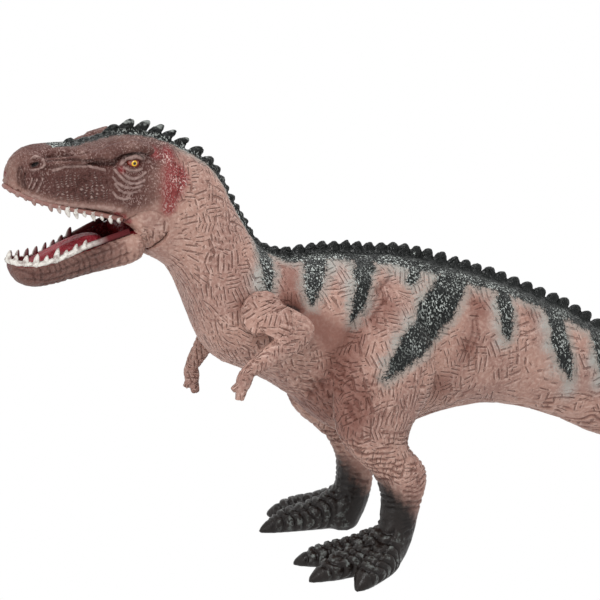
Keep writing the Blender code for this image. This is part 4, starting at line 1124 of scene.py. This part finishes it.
class Group:
    """Short way to fill a shader node tree."""

    def __init__(self, tree):
        self.tree = tree

    def feed(self, socket, value):
        if isinstance(value, Signal):
            self.tree.links.new(value.socket, socket)
        else:
            socket.default_value = value

    def node(self, kind, inputs=(), **settings):
        made = self.tree.nodes.new("ShaderNode" + kind)
        for key, value in settings.items():
            setattr(made, key, value)
        for key, value in dict(inputs).items():
            self.feed(made.inputs[key], value)
        return made

    def read(self, kind, inputs=(), output=0, **settings):
        """One output of a new node."""
        return Signal(self, self.node(kind, inputs, **settings).outputs[output])

    def outputs(self, made):
        return [Signal(self, socket) for socket in made.outputs]

    def placed(self, tree, **inputs):
        """Outputs of a node group by name."""
        made = self.node("Group", node_tree=tree)
        for key, value in inputs.items():
            self.feed(made.inputs[key], value)
        return {socket.name: Signal(self, socket) for socket in made.outputs}

    def math(self, operation, a, b=0.0):
        return self.read("Math", {0: a, 1: b}, operation=operation)

    def mix(self, share, a, b):
        return self.read("Mix", {0: share, 6: a, 7: b}, 2, data_type="RGBA")

    def vector(self, operation, a, b, output="Vector"):
        return self.read("VectorMath", {0: a, 1: b}, output, operation=operation)

    def noise(self, place, size, detail=2.0, output="Fac"):
        """Noise whose features are about size metres wide."""
        return self.read("TexNoise", {"Vector": place, "Scale": 1 / size, "Detail": detail}, output)

    def shaken(self, place, size, amount):
        """Place moved about by a noise."""
        moved = self.noise(place, size, output="Color")
        return self.vector("ADD", place, self.read("VectorMath", {0: moved, "Scale": amount}, operation="SCALE"))

    def place(self):
        return self.read("TexCoord", output="Object")

    def split(self, vector):
        return self.outputs(self.node("SeparateXYZ", {"Vector": vector}))

    def attribute(self, name):
        """The three parts of a stored vector."""
        return self.split(self.read("Attribute", output="Vector", attribute_name=name))


def group_of(name, vectors, floats, outputs):
    """New node group with vector inputs, float inputs and float outputs."""
    tree = bpy.data.node_groups.new(name, "ShaderNodeTree")
    for label in vectors:
        tree.interface.new_socket(label, in_out="INPUT", socket_type="NodeSocketVector")
    for label, value in floats.items():
        tree.interface.new_socket(label, in_out="INPUT", socket_type="NodeSocketFloat").default_value = value
    for label in outputs:
        tree.interface.new_socket(label, in_out="OUTPUT", socket_type="NodeSocketFloat")
    g = Group(tree)
    given = [Signal(g, socket) for socket in tree.nodes.new("NodeGroupInput").outputs if socket.name]
    return g, given, tree.nodes.new("NodeGroupOutput").inputs


def weave_group():
    """Short straight cuts in small groups that lie across each other, like those pressed into the vinyl, with a
    painted highlight (Edge) along the lit wall of each cut.
    """
    numbers = {"Patch": 0.0062, "Pitch": 0.0021, "Missing": 0.0}
    g, given, out = group_of("incised_weave", ("Place", "Facing"), numbers, ("Cut", "Edge"))
    place, facing, patch, pitch, missing = given
    inputs = {"Vector": place, "Scale": 1 / patch, "Randomness": 0.75}
    cells = g.node("TexVoronoi", inputs)
    border = g.read("TexVoronoi", inputs, "Distance", feature="DISTANCE_TO_EDGE")
    kind, jitter, share = g.outputs(g.node("SeparateColor", {"Color": Signal(g, cells.outputs["Color"])}))
    offset = g.vector("SUBTRACT", place, Signal(g, cells.outputs["Position"]))
    upright = g.math("GREATER_THAN", kind, 0.5)
    lying = 1.0 - upright
    jitter = (jitter - 0.5) * 0.9
    along = g.read("CombineXYZ", {"X": lying + jitter * upright, "Y": 0.15, "Z": upright + jitter * lying})
    across = g.read("VectorMath", {0: g.vector("CROSS_PRODUCT", facing, along)}, operation="NORMALIZE")
    reach = g.vector("DOT_PRODUCT", offset, across, "Value") + (g.noise(place, 0.003) - 0.5) * 0.0006
    phase = g.math("FRACT", reach / (pitch * (0.8 + share * 0.6))) - 0.5
    line = g.math("ABSOLUTE", phase).between(0.17, 0.03)
    # painted highlight along the wall of each cut that faces the lamps
    lit = phase.between(-0.1, -0.2) * phase.between(-0.42, -0.26)
    broken = border.between(0.01, 0.08) * g.noise(place, 0.0032, 1.0).between(0.38, 0.5)
    broken = broken * g.math("GREATER_THAN", share, missing)
    g.feed(out["Cut"], line * broken)
    g.feed(out["Edge"], lit * broken)
    return g.tree


def fleck_group():
    """Light flecks: dry-brush on the face and red parts, and painted glints of light on the glossy black ink."""
    g, given, out = group_of("dry_brush_and_glints", ("Place",), {"Size": 0.0011, "Cover": 0.4}, ("Fleck",))
    place, size, cover = given
    bent = g.vector("MULTIPLY", g.shaken(place, 1 / 400, 0.0016), (1.0, 1.0, 0.55))
    level = 0.74 - cover * 0.22 - (g.noise(place, 0.006, 1.0) - 0.5) * 0.25
    g.feed(out["Fleck"], (g.noise(bent, size, 1.0) - level).between(0.0, 0.05))
    return g.tree


def bead_group():
    """Small beads in uneven upright rows."""
    g, given, out = group_of("bead_rows", ("Place",), {"Across": 0.0021, "Down": 0.0013}, ("Bead",))
    place, across, down = given
    x, _, z = g.split(g.shaken(place, 1 / 260, 0.0042))
    a, b = (g.math("FRACT", (axis + 1.0) / pitch) - 0.5 for axis, pitch in ((x, across), (z, down)))
    g.feed(out["Bead"], g.math("SQRT", a * a + b * b).between(0.42, 0.12))
    return g.tree


def new_material(name):
    made = bpy.data.materials.new(name)
    made.use_nodes = True
    return made, Group(made.node_tree), made.node_tree.nodes["Principled BSDF"]


def finish_surface(g, shader, colour, roughness, height, distance, coat=0.0, coat_roughness=0.3):
    g.feed(shader.inputs["Base Color"], colour)
    g.feed(shader.inputs["Roughness"], roughness)
    if coat:
        shader.inputs["Coat Weight"].default_value = coat
        shader.inputs["Coat Roughness"].default_value = coat_roughness
    g.feed(shader.inputs["Normal"], g.read("Bump", {"Height": height, "Distance": distance}, "Normal"))


def layered(g, colour, *layers):
    """Colour under layers of paint, each a share and a colour."""
    for share, paint in layers:
        colour = g.mix(share, colour, paint)
    return colour


def skin_material(name, weave, fleck, bead):
    """Sprayed and washed vinyl skin, read from what the paint attributes say, with painted shade in cuts, creases,
    holes and groin, and painted highlights on cut walls, grain, raised tips and the glossy ink.
    """
    made, g, shader = new_material(name)
    place = g.place()
    facing = g.read("CombineXYZ", dict(zip("XYZ", g.attribute("skin_facing"))))
    stripe, crest, pale = g.attribute("paint_stripe")
    brown_and_shade, dark, face = g.attribute("paint_tone")
    red, depth, hatch = g.attribute("paint_mark")
    behind = g.split(place)[0]
    cloud = g.noise(place, 0.022, 3.0)
    grain = g.noise(place, 0.0015)
    patchy = g.noise(place, 0.005).between(0.42, 0.62)
    speck = g.noise(place, 0.0007, 1.0) - 0.5
    frayed = (g.noise(place, 0.0035, 3.0) - 0.5) * 4.5 + speck * 4.5
    carved_in = depth.between(0.0, 1.0)
    raised = depth.between(-0.1, -0.75)

    fine = g.placed(weave, Place=place, Facing=facing, Missing=behind.between(-0.02, 0.02) * 0.55)
    wide = g.placed(weave, Place=place, Facing=facing, Patch=0.011, Pitch=0.004, Missing=0.4)
    dashed = hatch.between(0.0, 1.0)
    crossing = wide["Cut"] * g.noise(place, 0.013, 1.0).between(0.42, 0.52)
    cut = fine["Cut"].most(crossing) * dashed
    # cuts and carved creases darken: a dark wash with painted shade
    deep = (cut * 0.85).most(carved_in)
    # painted highlight on the lit walls of the cuts
    ridge = fine["Edge"].most(wide["Edge"]) * dashed

    redness = (red + frayed * 0.07).between(0.02, 1.1) * 0.92
    # painted glints of light on the glossy black paint
    light = g.placed(fleck, Place=place, Size=0.00075, Cover=0.85)["Fleck"]
    small = g.placed(fleck, Place=place, Size=0.00062, Cover=0.84)["Fleck"]
    small = small * (0.35 + behind.between(-0.165, -0.13) * 0.65) * (0.4 + patchy * 0.5)
    beads = g.placed(bead, Place=place)["Bead"] * hatch.between(-0.25, -0.8)
    # dry-brush on the face and red parts, with painted highlights on raised lines, beads and tips
    touched = (small * hatch.between(-0.7, -0.1)).most(beads * patchy * 0.5).most(raised * grain * 0.75)
    brush_and_highlight = touched * face.most(redness).between(0.3, 0.9) * (0.25 + pale.between(-0.9, -0.1) * 0.7)

    band = (stripe + frayed).most(crest + frayed)
    inked = band.between(-1.0, 1.0)
    # dry-brush with painted highlights on raised tips and scutes
    tips = raised * grain.between(0.38, 0.66) * 0.45
    sparse = crest.between(7.0, 3.0) * (0.2 + cloud.between(0.38, 0.6) * 0.65)
    footed = (dark + frayed * 0.05).between(0.08, 0.92)
    lining = red.between(1.3, 1.7)
    colour = layered(
        g,
        FLESH,
        (cloud.between(0.35, 0.68), DULL_FLESH),
        # painted highlight on the raised fine grain
        (grain.between(0.42, 0.72) * 0.4, FLESH_GRAIN_HIGHLIGHT),
        # painted highlight on the lit walls of the cuts
        (ridge * 0.32, RIDGE),
        # reddish-brown spray with painted shade in the groin, on the belly and behind the arm
        (brown_and_shade * 0.72, BROWN_AND_SHADE_TONE),
        (face * 0.92, FACE),
        (pale.most(0.0) * (cloud + speck).between(0.1, 0.7) * 0.85, CHALK),
        # dark wash with painted shade in cuts, creases and carved lines
        (deep * (0.66 - face * 0.14), g.mix(face, GROOVE_WASH_SHADE, FACE_GROOVE_WASH_SHADE)),
        (redness, RED),
        # dry-brush with painted highlights on raised lines and beads
        (brush_and_highlight, DRY_BRUSH_AND_HIGHLIGHT),
        (band.between(-5.4, -0.6) * (0.6 - face * 0.5), HALO),
        # painted glints and highlighted tips on the black paint
        (inked, g.mix((light * sparse).most(tips), INK, INK_GLINT_AND_BRUSH)),
        # dry-brush with painted highlights on the scutes, and a dark wash with painted shade in the grooves
        (footed * 0.97, layered(g, FOOT, (tips * patchy, FOOT_GLINT_AND_BRUSH), (carved_in * 0.85, FOOT_GROOVE_WASH_SHADE))),
        # painted shade in the nostril and the pit
        (depth.between(0.9, 1.5) * 0.95, HOLE_SHADE),
        (lining, LINING),
    )

    roughness = 0.44 + grain * 0.14 - inked.most(footed.most(lining)) * 0.17
    pebble = g.read("TexVoronoi", {"Vector": place, "Scale": 760.0}, "Distance")
    rough_skin = face.most(redness).most(inked * 0.6)
    height = grain * 0.45 + light * inked * 0.5 + beads - pebble * rough_skin * 0.9
    height = height - cut * (1.0 - lining.most(footed * 0.7))
    shader.inputs["Specular IOR Level"].default_value = 0.26
    finish_surface(g, shader, colour, roughness, height, 0.0006)
    return made


def plain_material(name, light, deep, roughness, size, distance, coat=0.0, metallic=0.0):
    """One tone with fine mottling."""
    made, g, shader = new_material(name)
    place = g.place()
    grain = g.noise(place, size)
    colour = g.mix(g.noise(place, size * 5, 3.0).between(0.3, 0.7), light, deep)
    finish_surface(g, shader, colour, roughness + grain * 0.15, grain, distance, coat, 0.12)
    shader.inputs["Metallic"].default_value = metallic
    shader.inputs["Specular IOR Level"].default_value = 0.35
    return made


def tooth_material(name, above):
    """White paint on the outer faces of the teeth, red inside; the upper strip and front teeth are skin-coloured."""
    made, g, shader = new_material(name)
    place = g.place()
    outer, front, strip = g.attribute("paint_tooth")
    cloud = g.noise(place, 0.0022, 3.0)
    colour = g.mix(cloud.between(0.42, 0.7), TOOTH, TOOTH_DULL)
    rough = 0.36 + cloud * 0.2
    if above:
        snout = g.split(place)[0].between(-0.186, -0.196) * 0.85
        colour = g.mix(snout.most(strip), colour, GUM)
    else:
        colour = g.mix(front, GUM_RED, colour)
        rough = rough + front.between(1.0, 0.0) * 0.4
    colour = g.mix(outer, TOOTH_INSIDE, colour)
    finish_surface(g, shader, colour, rough, g.noise(place, 0.0008), 0.0001)
    return made


def eye_material():
    """Red-brown eyeball with a yellow ring round a black pupil."""
    made, g, shader = new_material("eye_paint")
    across, front, _ = g.attribute("paint_eye")
    cloud = g.noise(g.place(), 0.0009, 3.0)
    colour = layered(
        g,
        EYE,
        (cloud.between(0.3, 0.7), EYE_DEEP),
        (across.between(1.35, 1.2) * front, IRIS),
        (across.between(0.75, 0.6) * front, PUPIL),
    )
    finish_surface(g, shader, colour, 0.12 + cloud * 0.12, cloud, 0.00003, 0.2, 0.1)
    return made


# Build


def dress(obj, body, material, slot, *nodes):
    obj.data.materials.clear()
    obj.data.materials.append(material)
    obj.data.shade_smooth()
    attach(obj, body)
    if nodes:
        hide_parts(*nodes)


def dress_skins():
    skin = skin_material("vinyl_skin", weave_group(), fleck_group(), bead_group())
    for node, obj in make_skins().items():
        dress(obj, "figure", skin, "skin", node)
    dress(jaw_skin(), "jaw", skin, "skin", "lower_jaw")
    for side in ("left", "right"):
        dress(arm_skin("arm_" + side), side + "_arm", skin, "skin", "arm_" + side)


def dress_mouth():
    wet_red = plain_material("mouth_gloss", srgb(160, 52, 62), srgb(112, 22, 32), 0.38, 0.0016, 0.0012, 0.08)
    deep_red = plain_material("palate_gloss", srgb(70, 10, 18), srgb(40, 5, 10), 0.22, 0.0009, 0.0004, 0.2)
    dress(tongue(), "jaw", wet_red, "mouth_red", "tongue")
    dress(palate(), "figure", deep_red, "mouth_red", "palate")
    rim = rim_of(LOWER_RIM, 2.5, -0.2)
    lower = teeth("lower_teeth_row", rim, count=25, sizes=(3.4, 4.2, 4.4, 4.6, 4.4), upward=1.0,
                  radius=1.45, strip=1.35, rear=-103.0)
    dress(lower, "jaw", tooth_material("lower_tooth_paint", False), "tooth_white", "lower_teeth")
    rim = rim_of(UPPER_RIM, 2.0, 0.5)
    upper = teeth("upper_teeth_row", rim, count=29, sizes=(3.2, 4.0, 3.2, 2.2, 1.6), upward=-1.0,
                  radius=1.3, strip=1.1, rear=-92.0)
    dress(upper, "figure", tooth_material("upper_tooth_paint", True), "tooth_white", "upper_teeth")


def dress_rest():
    steel = plain_material("pin_metal", srgb(170, 170, 172), srgb(130, 130, 134), 0.3, 0.0006, 0.00005, 0.0, 1.0)
    fibre = plain_material("fibre", srgb(226, 226, 220), srgb(200, 200, 194), 0.85, 0.002, 0.0004)
    eye = eye_material()
    for name, side in EYES:
        dress(eyeball(name, side), "figure", eye, "eye_amber", name)
    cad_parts["jaw_pin"].data.materials[0] = steel
    stuffing = lowered(remeshed("stuffing_fill", welded("stuffing"), 2 * MM, 2))
    dress(stuffing, "figure", fibre, "fibre_white", "stuffing")


# Stage


def area_light(name, offset, size, power):
    """Round lamp that looks at the figure's middle."""
    data = bpy.data.lights.new(name, "AREA")
    data.shape = "DISK"
    data.size = size
    data.energy = power
    obj = link(bpy.data.objects.new(name, data))
    obj.location = Vector(MIDDLE) + Vector(offset)
    obj.rotation_euler = (-Vector(offset)).to_track_quat("-Z", "Y").to_euler()


def white_to_camera(g, lit, white, target):
    """White for what the camera sees directly, in a mirror or through glass, and the lit shader for the rest."""
    rays = g.node("LightPath").outputs
    seen, mirrored, through = (Signal(g, rays[f"Is {kind} Ray"]) for kind in ("Camera", "Glossy", "Transmission"))
    shaders = {1: Signal(g, lit.outputs[0]), 2: Signal(g, white.outputs[0])}
    g.feed(target.inputs["Surface"], g.read("MixShader", {0: seen.most(mirrored.most(through)), **shaders}))


def add_floor():
    """Pale floor that the camera sees as white."""
    bm = bmesh.new()
    bmesh.ops.create_grid(bm, x_segments=1, y_segments=1, size=2.0)
    obj = new_object("floor", bm)
    obj.location = (0.0, 0.0, -0.0004)
    made, g, shader = new_material("white_floor")
    shader.inputs["Base Color"].default_value = (0.8, 0.8, 0.8, 1.0)
    shader.inputs["Roughness"].default_value = 0.9
    glow = g.node("Emission", {"Color": WHITE})
    white_to_camera(g, shader, glow, made.node_tree.nodes["Material Output"])
    obj.data.materials.append(made)


def add_surroundings():
    """White surroundings and soft lamps."""
    world = bpy.data.worlds.new("studio")
    bpy.context.scene.world = world
    world.use_nodes = True
    g = Group(world.node_tree)
    around = world.node_tree.nodes["Background"]
    around.inputs["Color"].default_value = WHITE
    around.inputs["Strength"].default_value = 0.6
    white = g.node("Background", {"Color": WHITE})
    white_to_camera(g, around, white, world.node_tree.nodes["World Output"])
    area_light("key", (-0.5, -0.9, 1.1), 0.45, 9.0)
    area_light("fill", (-1.1, -0.5, 0.1), 0.8, 2.5)
    area_light("top", (0.4, 0.1, 1.2), 0.6, 7.0)


def add_camera():
    """The photograph's view: 25 degrees ahead of the left side and 15 degrees above."""
    data = bpy.data.cameras.new("camera")
    data.lens = 165.2
    data.sensor_width = 36.0
    data.clip_end = 20.0
    obj = link(bpy.data.objects.new("camera", data))
    turn, lift = math.radians(-25), math.radians(15)
    back = Vector((math.sin(turn) * math.cos(lift), -math.cos(turn) * math.cos(lift), math.sin(lift)))
    obj.location = Vector(MIDDLE) + 1.25 * back
    obj.rotation_euler = (-back).to_track_quat("-Z", "Y").to_euler()
    bpy.context.scene.camera = obj


bpy.context.scene.view_settings.view_transform = "Standard"
add_camera()
dress_skins()
dress_mouth()
dress_rest()
add_floor()
add_surroundings()
